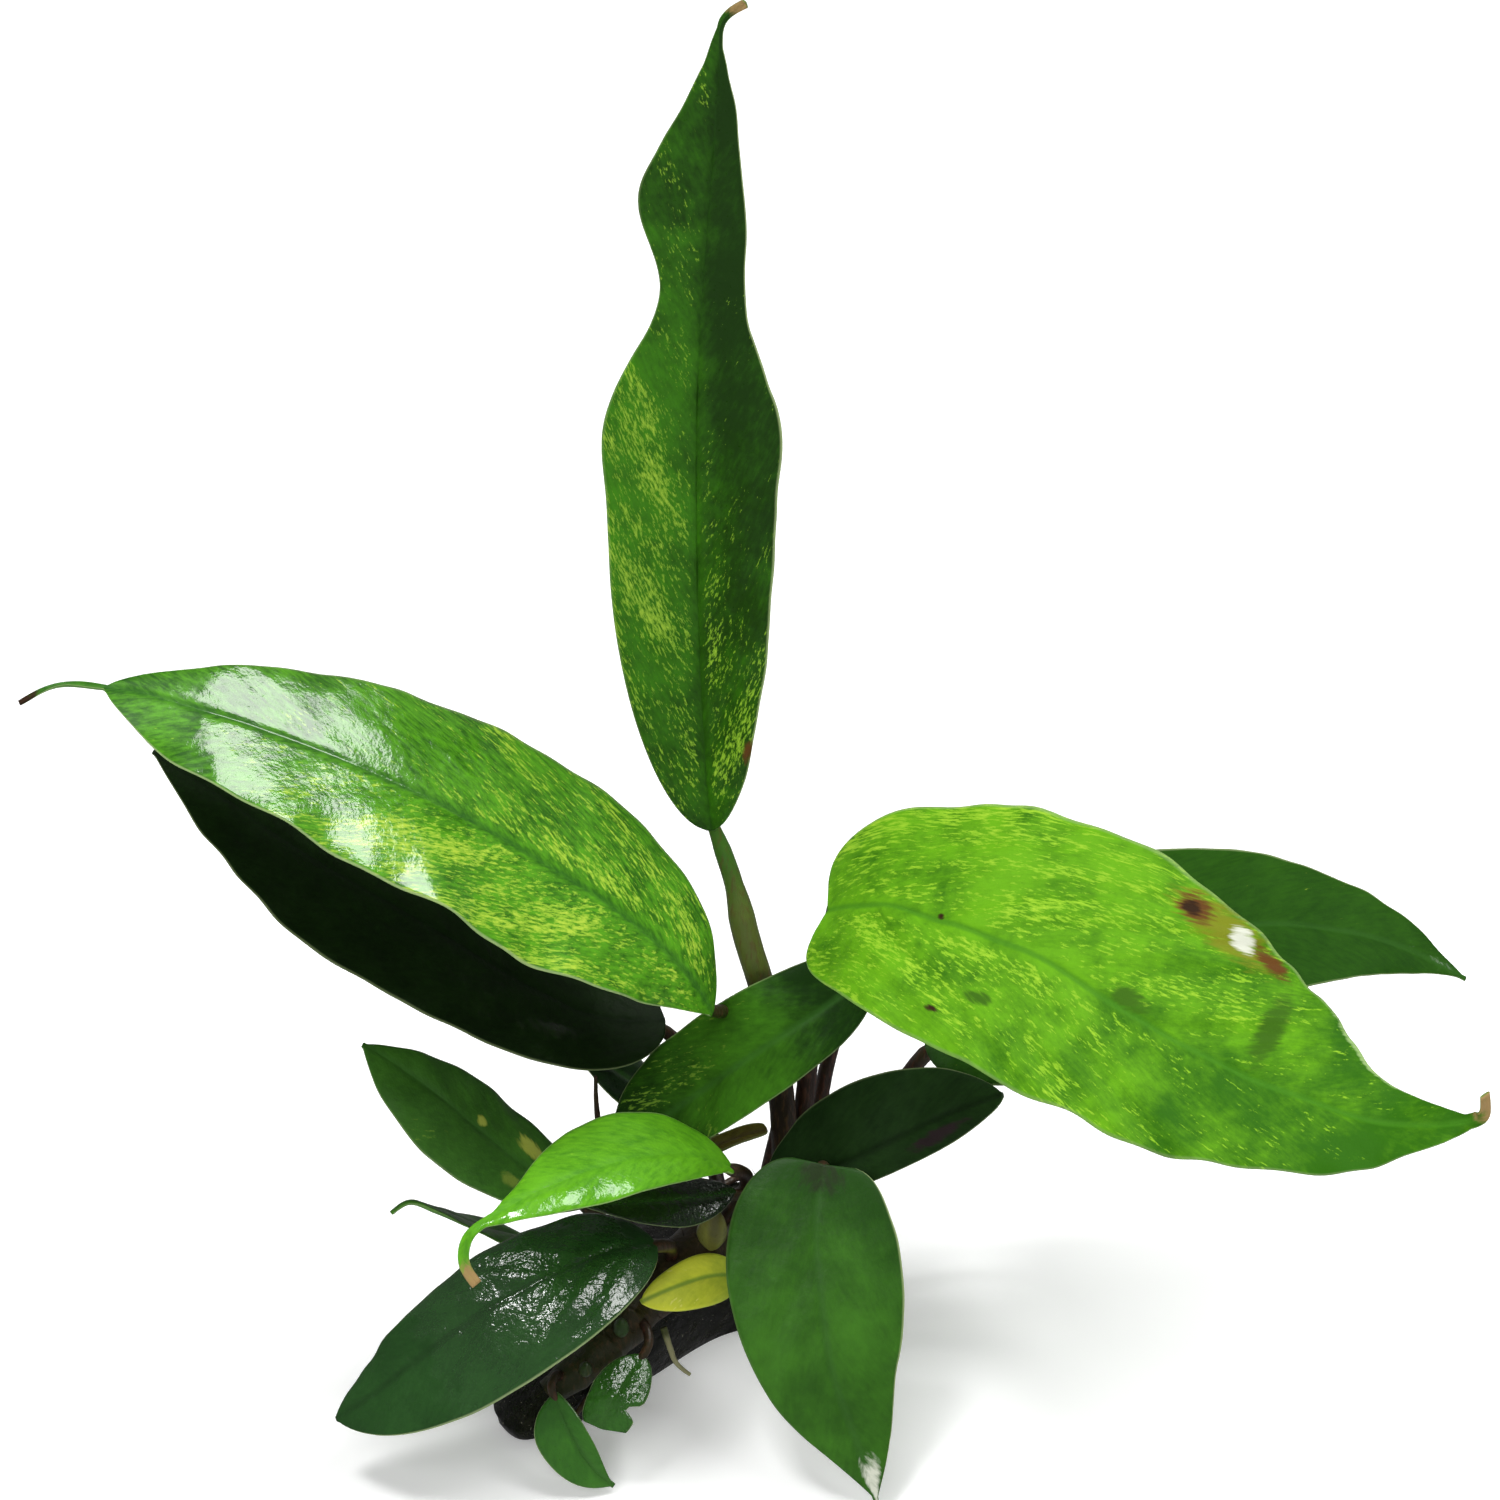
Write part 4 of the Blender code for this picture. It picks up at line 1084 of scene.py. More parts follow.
LEAF_FINISHES: dict[str, LeafFinish] = {
    "tall": LeafFinish(
        deep=(0.011, 0.040, 0.004),
        fresh=(0.052, 0.230, 0.006),
        fleck=(0.32, 0.50, 0.04),
        fleck_size=0.5,
        # The right half's low tone is painted shade: it is darker than the left because of how the light
        # falls on the fold.
        tone=((0.3, 0.4, 0.6, 0.7, 0.6, 0.4, 0.3, 0.4), (0.4, 0.3, 0.2, 0.2, 0.1, 0.0, 0.0, 0.1)),
        flecks=((0.75, 0.8, 0.85, 0.85, 0.65, 0.5, 0.45, 0.1), (0.8, 0.75, 0.5, 0.45, 0.35, 0.3, 0.2, 0.1)),
        gloss=0.1,
        wet=0.2,
        rib=(0.02, 0.07, 0.01),
        margin_glints=(0.25, 0.8),
        spots=(Spot(0.10, 0.93, (1.6, 1.0), DEAD_BROWN), Spot(1.0, 0.0, (2.2, 40), TAN)),
    ),
    "left": LeafFinish(
        deep=(0.016, 0.085, 0.004),
        fresh=(0.090, 0.320, 0.010),
        fleck=(0.40, 0.56, 0.05),
        streaky=1.8,
        patchy=1.2,
        tone=((0.6, 0.6, 0.6, 0.6, 0.5, 0.5), (0.5, 0.5, 0.5, 0.5, 0.4, 0.4)),
        flecks=((0.8, 0.85, 0.9, 0.9, 0.75, 0.3, 0.1), (0.85, 0.75, 0.7, 0.6, 0.45, 0.25, 0.1)),
        film=(
            (0.1, 0.1, 0.1, 0.1, 0.3, 1.0, 1.1, 1.0, 0.4, 0.0, 0.0),
            (0.1, 0.1, 0.1, 0.1, 0.2, 0.8, 1.2, 1.2, 0.5, 0.0, 0.0),
        ),
        rib=(0.02, 0.10, 0.012),
        margin_glints=(0.8, 0.3),
        roughness=0.4,
        wet=0.85,
        ripple=0.2,
        spots=(Spot(1.0, 0.0, (2.5, 60), DEAD_DARK),),
    ),
    "shaded": LeafFinish(
        deep=(0.003, 0.007, 0.002),
        fresh=(0.008, 0.022, 0.004),
        film=((0.1, 0.45, 0.3, 0.1, 0.1, 0.0), (0.0,)),
        rib=(0.004, 0.01, 0.003),
        wet=0.6,
        ripple=0.5,
        gloss=0.08,
    ),
    "centre": LeafFinish(
        deep=(0.007, 0.027, 0.003),
        fresh=(0.044, 0.162, 0.008),
        fleck=(0.16, 0.24, 0.03),
        tone=((0.0, 0.1, 0.5, 0.7, 0.6, 0.3, 0.2), (0.0, 0.1, 0.5, 0.6, 0.4, 0.2, 0.1)),
        flecks=((0.1, 0.1, 0.3, 0.4, 0.5, 0.5, 0.4), (0.1, 0.1, 0.3, 0.5, 0.6, 0.6, 0.5)),
        gloss=0.07,
        film=both(0.0, 0.1, 0.3),
        rib=(0.03, 0.10, 0.015),
        wet=0.4,
    ),
    "right": LeafFinish(
        deep=(0.026, 0.120, 0.004),
        fresh=(0.118, 0.340, 0.008),
        fleck=(0.29, 0.50, 0.03),
        fleck_size=0.9,
        fleck_stretch=1.6,
        streaky=0.7,
        tone=((0.5, 0.7, 0.75, 0.6, 0.4, 0.0, 0.0), (0.6, 0.7, 0.65, 0.5, 0.3, 0.0, 0.0)),
        flecks=((0.8, 0.85, 0.75, 0.65, 0.5, 0.1), (0.85, 0.75, 0.65, 0.6, 0.4, 0.1)),
        film=((0.0, 0.0, 0.1, 0.3, 0.1, 0.5), (0.0, 0.0, 0.0, 0.0, 0.2, 0.3)),
        patch=8.0,
        patchy=2.0,
        rib=(0.05, 0.19, 0.01),
        rib_width=0.45,
        rib_shows=0.7,
        margin_glints=(0.4, 0.3),
        roughness=0.55,
        gloss=0.06,
        wet=0.4,
        spots=(
            Spot(0.530, -0.84, (8.0, 2.6), (0.17, 0.20, 0.012)),
            Spot(0.480, -0.83, (2.8, 1.7), DEAD_BROWN),
            Spot(0.615, -0.89, (3.0, 1.3), DEAD_BROWN),
            Spot(0.475, -0.82, (1.5, 0.9), DEAD_DARK),
            # A painted highlight between the brown spots.
            Spot(0.563, -0.86, (2.0, 1.3), PALE_PATCH_AND_GLINT),
            # These darker green spots, and the long one below, are painted shade where the blade bends,
            # over small dark marks.
            Spot(0.480, -0.08, (2.4, 1.3), SHADE_AND_MARK_GREEN),
            Spot(0.314, 0.51, (1.8, 1.0), SHADE_AND_MARK_GREEN),
            Spot(0.200, -0.03, (0.5, 0.4), DEAD_DARK),
            Spot(0.264, 0.74, (0.9, 0.4), DEAD_DARK),
            Spot(0.660, -0.45, (1.6, 6.0), SHADE_AND_MARK_GREEN),
            Spot(0.790, -1.00, (5.0, 1.4), (0.26, 0.40, 0.14)),
            Spot(1.000, 0.00, (3.5, 60), TAN),
        ),
    ),
    "back": LeafFinish(
        deep=(0.009, 0.040, 0.004),
        fresh=(0.025, 0.095, 0.006),
        tone=both(0.5, 0.5, 0.5, 0.4),
        flecks=both(0.5, 0.35, 0.15, 0.2, 0.25),
        film=both(0.6, 0.2, 0.0, 0.1, 0.45),
        margin_glints=(0.5, 0.4),
        roughness=0.6,
        gloss=0.04,
        wet=0.5,
    ),
    "split": LeafFinish(
        deep=(0.004, 0.013, 0.003),
        fresh=(0.014, 0.040, 0.008),
        film=both(0.2),
        rib=(0.004, 0.010, 0.003),
        wet=0.4,
        gloss=0.15,
        spots=(Spot(0.72, 0.55, (4.5, 1.4), (0.022, 0.014, 0.016)),),
    ),
    "front": LeafFinish(
        deep=(0.014, 0.058, 0.005),
        fresh=(0.046, 0.165, 0.012),
        tone=both(0.0, 0.4, 0.55, 0.5, 0.5),
        patch=7.0,
        patchy=1.3,
        streaky=0.4,
        film=both(0.2),
        margin_glints=(0.9, 0.1),
        wet=0.4,
        spots=(Spot(0.0, 0.0, (3.5, 5.0), (0.018, 0.034, 0.010)), Spot(0.97, -0.2, (4.0, 6.0), PALE_PATCH_AND_GLINT)),
    ),
    "lime": LeafFinish(
        deep=(0.055, 0.230, 0.008),
        fresh=(0.125, 0.400, 0.012),
        streaky=1.8,
        fleck=(0.30, 0.58, 0.03),
        tone=both(0.6),
        flecks=both(0.3),
        film=((0.4, 0.6, 0.8, 0.3), (0.1, 0.1, 0.1, 0.1)),
        rib=(0.07, 0.26, 0.015),
        rib_shows=0.25,
        margin_glints=(0.6, 0.5),
        wet=0.8,
        gloss=0.12,
        spots=(Spot(1.0, 0.0, (3.0, 40), TAN),),
    ),
    "spotted": LeafFinish(
        deep=(0.017, 0.062, 0.008),
        fresh=(0.050, 0.165, 0.016),
        fleck=(0.20, 0.32, 0.04),
        flecks=((0.6, 0.5, 0.4, 0.2), (0.4, 0.2, 0.1, 0.0)),
        film=both(0.3),
        wet=0.4,
        spots=(
            Spot(0.265, 0.45, (3.0, 1.3), SOFT_YELLOW),
            Spot(0.515, 0.21, (0.9, 0.7), SOFT_YELLOW),
            Spot(0.34, -0.5, (1.6, 1.0), (0.15, 0.22, 0.03)),
        ),
    ),
    "glossy": LeafFinish(
        deep=(0.010, 0.040, 0.008),
        fresh=(0.020, 0.075, 0.014),
        film=((0.4, 0.9, 1.1, 0.8, 0.1, 0.0), (0.2, 0.9, 1.1, 0.8, 0.1, 0.0)),
        rib=(0.010, 0.035, 0.008),
        margin_glints=(0.7, 0.2),
        roughness=0.4,
        wet=1.0,
        ripple=0.5,
    ),
    "tucked": LeafFinish(
        deep=(0.004, 0.014, 0.004),
        fresh=(0.012, 0.040, 0.008),
        margin_glints=(0.6, 0.6),
        wet=0.7,
    ),
    "narrow": LeafFinish(
        deep=(0.015, 0.060, 0.008),
        fresh=(0.090, 0.300, 0.018),
        tone=both(0.9, 0.4, 0.3, 0.7),
        wet=0.3,
    ),
    "yellow": LeafFinish(
        deep=(0.300, 0.400, 0.025),
        fresh=(0.640, 0.680, 0.050),
        fleck=(0.75, 0.72, 0.20),
        tone=((0.2, 0.6, 0.9), (0.3, 0.7, 0.9)),
        patchy=1.6,
        flecks=((0.3, 0.7), (0.3, 0.6)),
        film=both(0.2),
        rib=(0.10, 0.24, 0.03),
        rib_width=0.3,
        rib_shows=0.7,
        wet=0.4,
    ),
    "torn": LeafFinish(
        deep=(0.012, 0.045, 0.006),
        fresh=(0.035, 0.140, 0.015),
        margin_glints=(0.5, 0.5),
        roughness=0.3,
        wet=1.0,
        ripple=0.8,
    ),
    "small": LeafFinish(
        deep=(0.018, 0.080, 0.010),
        fresh=(0.050, 0.180, 0.018),
        tone=both(0.3, 0.5, 0.7),
        margin_glints=(0.4, 0.6),
        wet=0.5,
    ),
    "wet": LeafFinish(
        # Nearly black: painted shade under the lime leaf above it.
        deep=(0.003, 0.008, 0.003),
        fresh=(0.010, 0.025, 0.006),
        margin_glints=(0.3, 0.3),
        roughness=0.3,
        wet=1.0,
        ripple=0.9,
    ),
    "scale": LeafFinish(
        deep=(0.080, 0.090, 0.020),
        fresh=(0.180, 0.180, 0.040),
        rib=(0.03, 0.02, 0.01),
        rib_width=0.7,
        wet=0.6,
    ),
    "husk": LeafFinish(
        deep=(0.060, 0.045, 0.012),
        fresh=(0.200, 0.180, 0.030),
        rib=(0.08, 0.05, 0.02),
        wet=0.5,
    ),
}
LEAF_SLOTS: dict[Slot, tuple[str, ...]] = {
    Slot.GREEN: ("tall", "left", "centre", "front", "narrow", "small"),
    Slot.DARK: ("shaded", "back", "split", "spotted", "glossy", "tucked", "torn", "wet"),
    Slot.LIME: ("right", "lime"),
    Slot.YELLOW: ("yellow",),
    Slot.OLD: ("scale", "husk"),
}


DARK_BARK = (0.016, 0.010, 0.005)


@dataclass(frozen=True)
class BarkFinish:
    """The colours and gloss of a stem, a root, a bud or the rhizome."""

    top: Colour
    foot: Colour
    streak: Colour
    change: float = 8.0  # distance from its top end over which one colour turns into the other
    sink: float = 1000.0  # distance from its top end where it turns dark
    streaks: float = 0.5  # how streaked it is
    roughness: float = 0.4
    wet: float = 0.6

    def material(self, name: str) -> bpy.types.Material:
        """A material with streaks along the piece, and fine relief under a film of water."""
        shader = Shader(name)
        own = shader.place()
        along = shader.attribute("along")
        blend = shader.step(shader.noise(own, 3.0), 0.2, 0.8)
        reach = shader.math("MULTIPLY_ADD", blend, 3.0 * MM, along)
        turned = shader.step(reach, 0.3 * self.change * MM, self.change * MM)
        colour = shader.mix(turned, self.top, self.foot)
        sunk = shader.step(reach, 0.85 * self.sink * MM, self.sink * MM)
        colour = shader.mix(sunk, colour, DARK_BARK)
        grain = shader.noise(shader.vector("MULTIPLY", own, (1.0, 1.0, 0.22)), 0.5, 3.0, 0.6)
        streak = shader.math("MULTIPLY", shader.step(grain, 0.48, 0.68), self.streaks)
        colour = shader.mix(streak, colour, self.streak)
        fine = shader.noise(own, 0.3, 3.0, 0.6)
        roughness = shader.math("MULTIPLY_ADD", fine, 0.25, self.roughness - 0.1)
        normal = shader.bump(grain, 0.6, 0.25)
        normal = shader.bump(fine, 0.4, 0.1, normal)
        return shader.finish(
            Base_Color=colour,
            Roughness=roughness,
            Specular_IOR_Level=0.4,
            Coat_Weight=self.wet,
            Coat_Roughness=0.1,
            Coat_IOR=1.33,
            Normal=normal,
            Coat_Normal=normal,
        )


BROWN_STEM = BarkFinish((0.030, 0.022, 0.008), (0.022, 0.010, 0.006), (0.10, 0.035, 0.018))
GREEN_STEM = BarkFinish(
    (0.038, 0.115, 0.008), (0.080, 0.110, 0.016), (0.08, 0.040, 0.012), change=18, sink=26, wet=0.2
)
ROOT_FINISH = BarkFinish((0.060, 0.040, 0.018), (0.035, 0.020, 0.010), (0.12, 0.07, 0.035))
PALE_ROOT = BarkFinish(
    (0.060, 0.070, 0.020), (0.250, 0.240, 0.120), (0.05, 0.06, 0.02), change=4, streaks=0.3
)
RHIZOME_FINISH = BarkFinish(
    (0.022, 0.026, 0.008), (0.026, 0.018, 0.007), (0.07, 0.04, 0.016), change=20, streaks=0.6, wet=0.3
)
BUD_FINISH = BarkFinish((0.022, 0.055, 0.010), (0.020, 0.035, 0.008), (0.06, 0.07, 0.02), change=2)


@dataclass(frozen=True)
class Stem:
    """A leaf stem: points from under its blade to the rhizome's middle line, and end radii."""

    points: tuple[Point, ...]
    radii: tuple[float, float]  # at the blade and at the rhizome
    finish: BarkFinish = BROWN_STEM
    under: bool = False  # whether it meets its blade from underneath
    sheath: float = 0.0  # the radius of its winged sheath, where it has one


STEMS = {
    "tall": Stem(
        (
            (10, 13, 65.5),
            (11.5, 12, 58.5),
            (13.5, 11.5, 51),
            (15.5, 10, 40.5),
            (16.5, 8.8, 30),
            (16.5, 8.4, 20.1),
        ),
        (1.15, 1.8),
        GREEN_STEM,
        sheath=1.75,
    ),
    "right": Stem(
        (
            (22.6, 6, 66),
            (22.6, 10.3, 60),
            (21.6, 12.6, 53),
            (20.3, 12.6, 44),
            (19.2, 11.6, 32),
            (18.2, 10.3, 20.6),
        ),
        (1.0, 1.4),
    ),
    "centre": Stem(
        ((26.7, 9, 52.6), (25.8, 13.6, 47.5), (23.8, 16.8, 41), (22.2, 17, 34), (20.6, 11.9, 20.9)),
        (0.9, 1.1),
        under=True,
    ),
    "left": Stem(
        (
            (8.4, 7.2, 50),
            (9.6, 11.6, 48),
            (11, 13.8, 44),
            (12.6, 14.6, 39),
            (15, 14, 34),
            (15.9, 12.8, 28),
            (15, 11.2, 24),
            (13.6, 6, 19.7),
        ),
        (0.9, 1.2),
    ),
    "shaded": Stem(
        ((2.6, 11.6, 42), (4.6, 14, 37), (6.5, 14, 30), (7, 11, 24), (8, 6, 21), (8.5, 1.4, 18.7)),
        (0.9, 1.1),
    ),
    "back": Stem(
        ((34.3, 18.2, 34), (32.4, 18.2, 31), (28.5, 17, 28.5), (25, 15.4, 26), (22.8, 13.4, 21.2)),
        (1.1, 1.2),
    ),
    "split": Stem(((13.5, 2.6, 24.3), (14.1, 6.2, 19.7)), (0.7, 0.8)),
    "front": Stem(
        ((21.4, -1.6, 31.6), (19.4, -3.4, 27.6), (15.6, -4, 23.2), (13.4, -0.6, 21), (11.4, 3.6, 19.3)),
        (0.9, 1.1),
        under=True,
    ),
    "lime": Stem(((10.8, -2.6, 31.6), (11.6, 0.8, 27.5), (11.2, 2.2, 23.5), (10.4, 3, 19)), (0.9, 1.0)),
    "spotted": Stem(((-7, -4, 24.8), (-3.5, -4.4, 20.5), (-1, -7.5, 16)), (0.8, 1.0)),
    "glossy": Stem(((1.4, -8.8, 24.4), (1.8, -6.4, 21.4), (1.9, -4.8, 16.9)), (0.9, 1.0)),
    "torn": Stem(((-1, -16.4, 14.8), (-1.4, -14.4, 15.6), (-4.5, -11, 14.5)), (0.6, 0.7)),
    "small": Stem(((-13.3, -22.2, 12.6), (-13, -21.2, 13), (-12, -18.5, 10)), (0.5, 0.7)),
    "narrow": Stem(((-11, -1, 16.4), (-7.5, -4, 16), (-3.5, -10.5, 14.7)), (0.6, 0.8)),
    "tucked": Stem(
        ((4.4, 10, 26.2), (4, 6.5, 23.5), (3.6, 1, 20.6), (3, -3.8, 17.1)),
        (0.6, 0.8),
    ),
    "yellow": Stem(((11.5, -4.6, 16.9), (12.2, -2.6, 17.6), (12.9, 5.1, 19.5)), (0.7, 0.8)),
    "wet": Stem(((10.7, -1.6, 27), (9.2, -0.8, 24), (7.4, 0.4, 18.5)), (0.8, 0.9)),
}
YOUNG_LEAF = Stem(
    ((-8, 4, 42), (-8, 4, 38), (-7.5, 3.4, 32), (-6, 2, 25), (-3.5, -0.4, 20.5), (-0.5, -6.8, 16.2)),
    (0.25, 0.9),
)

# Roots that cling to the stone: the share of the rhizome's length where each leaves it, then its
# places on the stone from the top down, as the turn round the plan and the level up the side.
CLINGING_ROOTS = {
    "root_front_left": (0.22, ((0.07, 0.52), (0.05, 0.36), (0.025, 0.2))),
    "root_front_right": (0.66, ((0.235, 0.62), (0.25, 0.45), (0.262, 0.3), (0.255, 0.18))),
    "root_back_left": (0.36, ((0.78, 0.74), (0.775, 0.6), (0.765, 0.44), (0.775, 0.3), (0.765, 0.17))),
    "root_back_middle": (0.56, ((0.70, 0.78), (0.705, 0.62), (0.69, 0.45), (0.7, 0.3), (0.69, 0.17))),
    "root_back_right": (0.78, ((0.60, 0.74), (0.585, 0.58), (0.59, 0.42), (0.57, 0.3), (0.58, 0.17))),
    "root_right_end": (0.93, ((0.45, 0.84), (0.44, 0.7), (0.43, 0.55), (0.42, 0.38), (0.425, 0.2))),
}
FREE_ROOT = ((0.8, -11.6, 13.3), (1.6, -12.6, 10.8), (2.4, -13, 8.6), (4.2, -13.2, 6.8))
FREE_ROOT_RADII = (0.5, 0.25)

# The rhizome's middle line, from its cut end at the front left to its growing end, and its radius.
RHIZOME_LINE = (
    (-14, -19.5, 9),
    (-8.5, -16.5, 12),
    (-1, -7.5, 16),
    (7.5, 0.5, 18.5),
    (15.5, 7.5, 20),
    (24, 14.5, 21.5),
)
RHIZOME_RADII = (2.0, 3.4, 4.2, 4.2, 4.0, 2.2)
ROOT_RADIUS = 0.6
STEM_START = 1.2  # how far up the midrib a stem starts
STEM_SINK = 0.5  # how far below the blade's surface it starts
STEM_TOP = 0.6  # its radius there, as a share of the one at the blade
STEM_RADII = 12  # how many radii a stem has after that one
BARE_RADII = 3  # how many radii a stem has above its sheath
# The stone's plan at its widest level, counter-clockwise from the front left.
STONE_PLAN = (
    (-16.5, -20.5),
    (-3.6, -9.2),
    (9, 2.8),
    (20, 8),
    (28, 15.5),
    (25, 21.5),
    (10, 21.5),
    (-8, 14),
    (-20, -1),
    (-22, -13),
)
# The stone's side from the edge of its flat underside to its top: height and share of the plan.
STONE_HEIGHTS = (0, 1.0, 3.2, 6.0, 8.8, 10.8, 12.2, 12.9, 13.1)
STONE_SHARES = (0.80, 0.90, 0.98, 1.0, 0.95, 0.82, 0.58, 0.30, 0)
STONE_LOW_END = (-0.74, -0.67)  # the way to the low end of the stone
STONE_SLOPE = 0.0172  # how much lower each millimetre that way is, as a share of the height


@dataclass(frozen=True)
class Tube:
    """A tube along a line, made by Geometry Nodes, with soft relief on its skin."""

    name: str
    points: Any  # the line's points
    radii: Any  # the radius at even shares of the line
    finish: BarkFinish
    sides: int = 14
    step: float = 0.4  # length of a face
    relief: float = 0.12  # depth of the skin's relief
    relief_size: float = 1.6
    seed: int = 1
    knots: int = 60

    def line(self) -> bpy.types.Mesh:
        """The tube's line: a chain of points, each with its thickness."""
        shares = np.linspace(0, 1, self.knots + 1)
        places, _ = smooth_line(self.points, shares)
        mesh = bpy.data.meshes.new(self.name)
        edges = [(knot, knot + 1) for knot in range(self.knots)]
        mesh.from_pydata(places * MM, edges, [])
        thick = mesh.attributes.new("thick", "FLOAT", "POINT")
        thick.data.foreach_set("value", between(self.radii, shares) * MM)
        return mesh

    def tree(self) -> tuple[Tree, Value]:
        """The nodes that give the line its skin.

        Returns:
            The tree, and the socket of the skin.
        """
        tree = Tree(self.name)
        tree.interface("Sides", "NodeSocketInt", self.sides)
        tree.interface("Step", "NodeSocketFloat", self.step * MM)
        tree.interface("Relief", "NodeSocketFloat", self.relief * MM)
        tree.interface("Relief size", "NodeSocketFloat", self.relief_size * MM)
        tree.interface("Seed", "NodeSocketFloat", float(self.seed))
        line = tree.add("GeometryNodeMeshToCurve", {"Mesh": tree.take("Geometry")}).outputs[0]
        inputs = {"Curve": line, "Length": tree.take("Step")}
        line = tree.add("GeometryNodeResampleCurve", inputs, mode="LENGTH").outputs[0]
        thick = tree.add("GeometryNodeInputNamedAttribute", {"Name": "thick"}, data_type="FLOAT")
        line = tree.add("GeometryNodeSetCurveRadius", {"Curve": line, "Radius": thick.outputs[0]})
        along = tree.add("GeometryNodeSplineParameter", {}).outputs["Length"]
        inputs = {"Geometry": line.outputs[0], "Name": "along", "Value": along}
        line = tree.add("GeometryNodeStoreNamedAttribute", inputs, data_type="FLOAT").outputs[0]
        inputs = {"Resolution": tree.take("Sides"), "Radius": 1.0}
        ring = tree.add("GeometryNodeCurvePrimitiveCircle", inputs).outputs[0]
        inputs = {"Curve": line, "Profile Curve": ring, "Fill Caps": True}
        node = tree.add("GeometryNodeCurveToMesh", inputs)
        if "Scale" in node.inputs:
            tree.group.links.new(thick.outputs[0], node.inputs["Scale"])
        skin = node.outputs[0]
        return tree, tree.swollen(skin, tree.take("Relief size"), tree.take("Relief"), tree.take("Seed"))

    def mesh(self) -> bpy.types.Mesh:
        """The finished tube."""
        tree, skin = self.tree()
        tree.close(skin, self.finish.material(self.name))
        return tree.apply(self.line())


@dataclass(frozen=True)
class Foliage:
    """All leaf blades with their stems, and the young leaf that is still rolled."""

    blades: dict[str, Blade]
    stems: dict[str, Stem]

    def leaves(self) -> list[Leaf]:
        """Every blade with its finish and slot."""
        slots = {name: slot for slot, names in LEAF_SLOTS.items() for name in names}
        return [
            Leaf(name, blade, LEAF_FINISHES[name], slots[name], seed)
            for seed, (name, blade) in enumerate(self.blades.items())
        ]

    def build_stem(self, leaf: Leaf, stem: Stem) -> None:
        """Makes a stem that starts inside its blade's base and ends inside the rhizome.

        Args:
            leaf: The blade that the stem carries.
            stem: The stem's line, radii and finish.
        """
        shares, sides = leaf.grid()
        points = leaf.skin(shares, sides)["points"]
        base = seat(points.reshape(-1, 3), leaf.node)
        _, ways = smooth_line(leaf.blade.rib, np.array([0.0]))
        start = base + STEM_START * ways[0] - STEM_SINK * unit(np.array(leaf.blade.faces[0], float))
        points = [start, *stem.points]
        radii = [stem.radii[0] * STEM_TOP, *between(stem.radii, np.linspace(0, 1, STEM_RADII))]
        if stem.sheath > 0:
            winged = [max(radius, stem.sheath) for radius in radii[BARE_RADII:]]
            radii = [*radii[:BARE_RADII], *winged]
        tube = Tube("stem_" + leaf.name, points, radii, stem.finish, seed=leaf.seed)
        add_piece("stalk_" + leaf.name, tube.mesh(), ("stem_" + leaf.name,))

    def build(self) -> None:
        """Makes every piece of the foliage."""
        for leaf in self.leaves():
            leaf.build()
            if leaf.name in self.stems:
                self.build_stem(leaf, self.stems[leaf.name])
        tube = Tube("young_leaf", YOUNG_LEAF.points, YOUNG_LEAF.radii, YOUNG_LEAF.finish, step=0.3)
        add_piece("rolled_leaf", tube.mesh(), ("young_leaf",))


@dataclass(frozen=True)
class Rhizome:
    """The creeping stem: a ring at each old leaf scar, and short hairs."""

    line: tuple[Point, ...] = RHIZOME_LINE
    radii: tuple[float, ...] = RHIZOME_RADII
    scars: int = 11
    scar_rise: float = 0.07  # how far a scar stands out, as a share of the radius
    hair_length: float = 1.6
    hair_radius: float = 0.07
    hairs: float = 0.05  # for each square millimetre

    def build(self) -> None:
        """Makes the rhizome's piece."""
        shares = np.linspace(0, 1, 161)
        ring = (shares * self.scars) % 1
        swollen = 1 - 2 * self.scar_rise + self.scar_rise * (0.5 + 1.5 * ring**4)
        radii = between(self.radii, shares) * swollen
        tube = Tube(
            "rhizome",
            self.line,
            radii,
            RHIZOME_FINISH,
            sides=40,
            step=0.3,
            relief=0.9,
            relief_size=2.4,
            seed=3,
            knots=160,
        )
        tree, skin = tube.tree()
        tree.interface("Hairs", "NodeSocketFloat", self.hairs / MM**2)
        tree.interface("Hair length", "NodeSocketFloat", self.hair_length * MM)
        tree.interface("Hair radius", "NodeSocketFloat", self.hair_radius * MM)
        inputs = {"Mesh": skin, "Density": tree.take("Hairs"), "Seed": 5}
        spread = tree.add("GeometryNodeDistributePointsOnFaces", inputs)
        inputs = {"Vertices": 4, "Side Segments": 3, "Radius Top": 0.00001}
        inputs |= {"Radius Bottom": tree.take("Hair radius"), "Depth": tree.take("Hair length")}
        hair = tree.add("GeometryNodeMeshCone", inputs).outputs[0]
        inputs = {"Points": spread.outputs[0], "Instance": hair, "Rotation": spread.outputs["Rotation"]}
        hairs = tree.add("GeometryNodeInstanceOnPoints", inputs).outputs[0]
        both = tree.add("GeometryNodeJoinGeometry", {})
        for part in (skin, hairs):
            tree.group.links.new(part, both.inputs[0])
        tree.close(both.outputs[0], RHIZOME_FINISH.material("rhizome"))
        add_piece("creeping_stem", tree.apply(tube.line()), ("rhizome",))


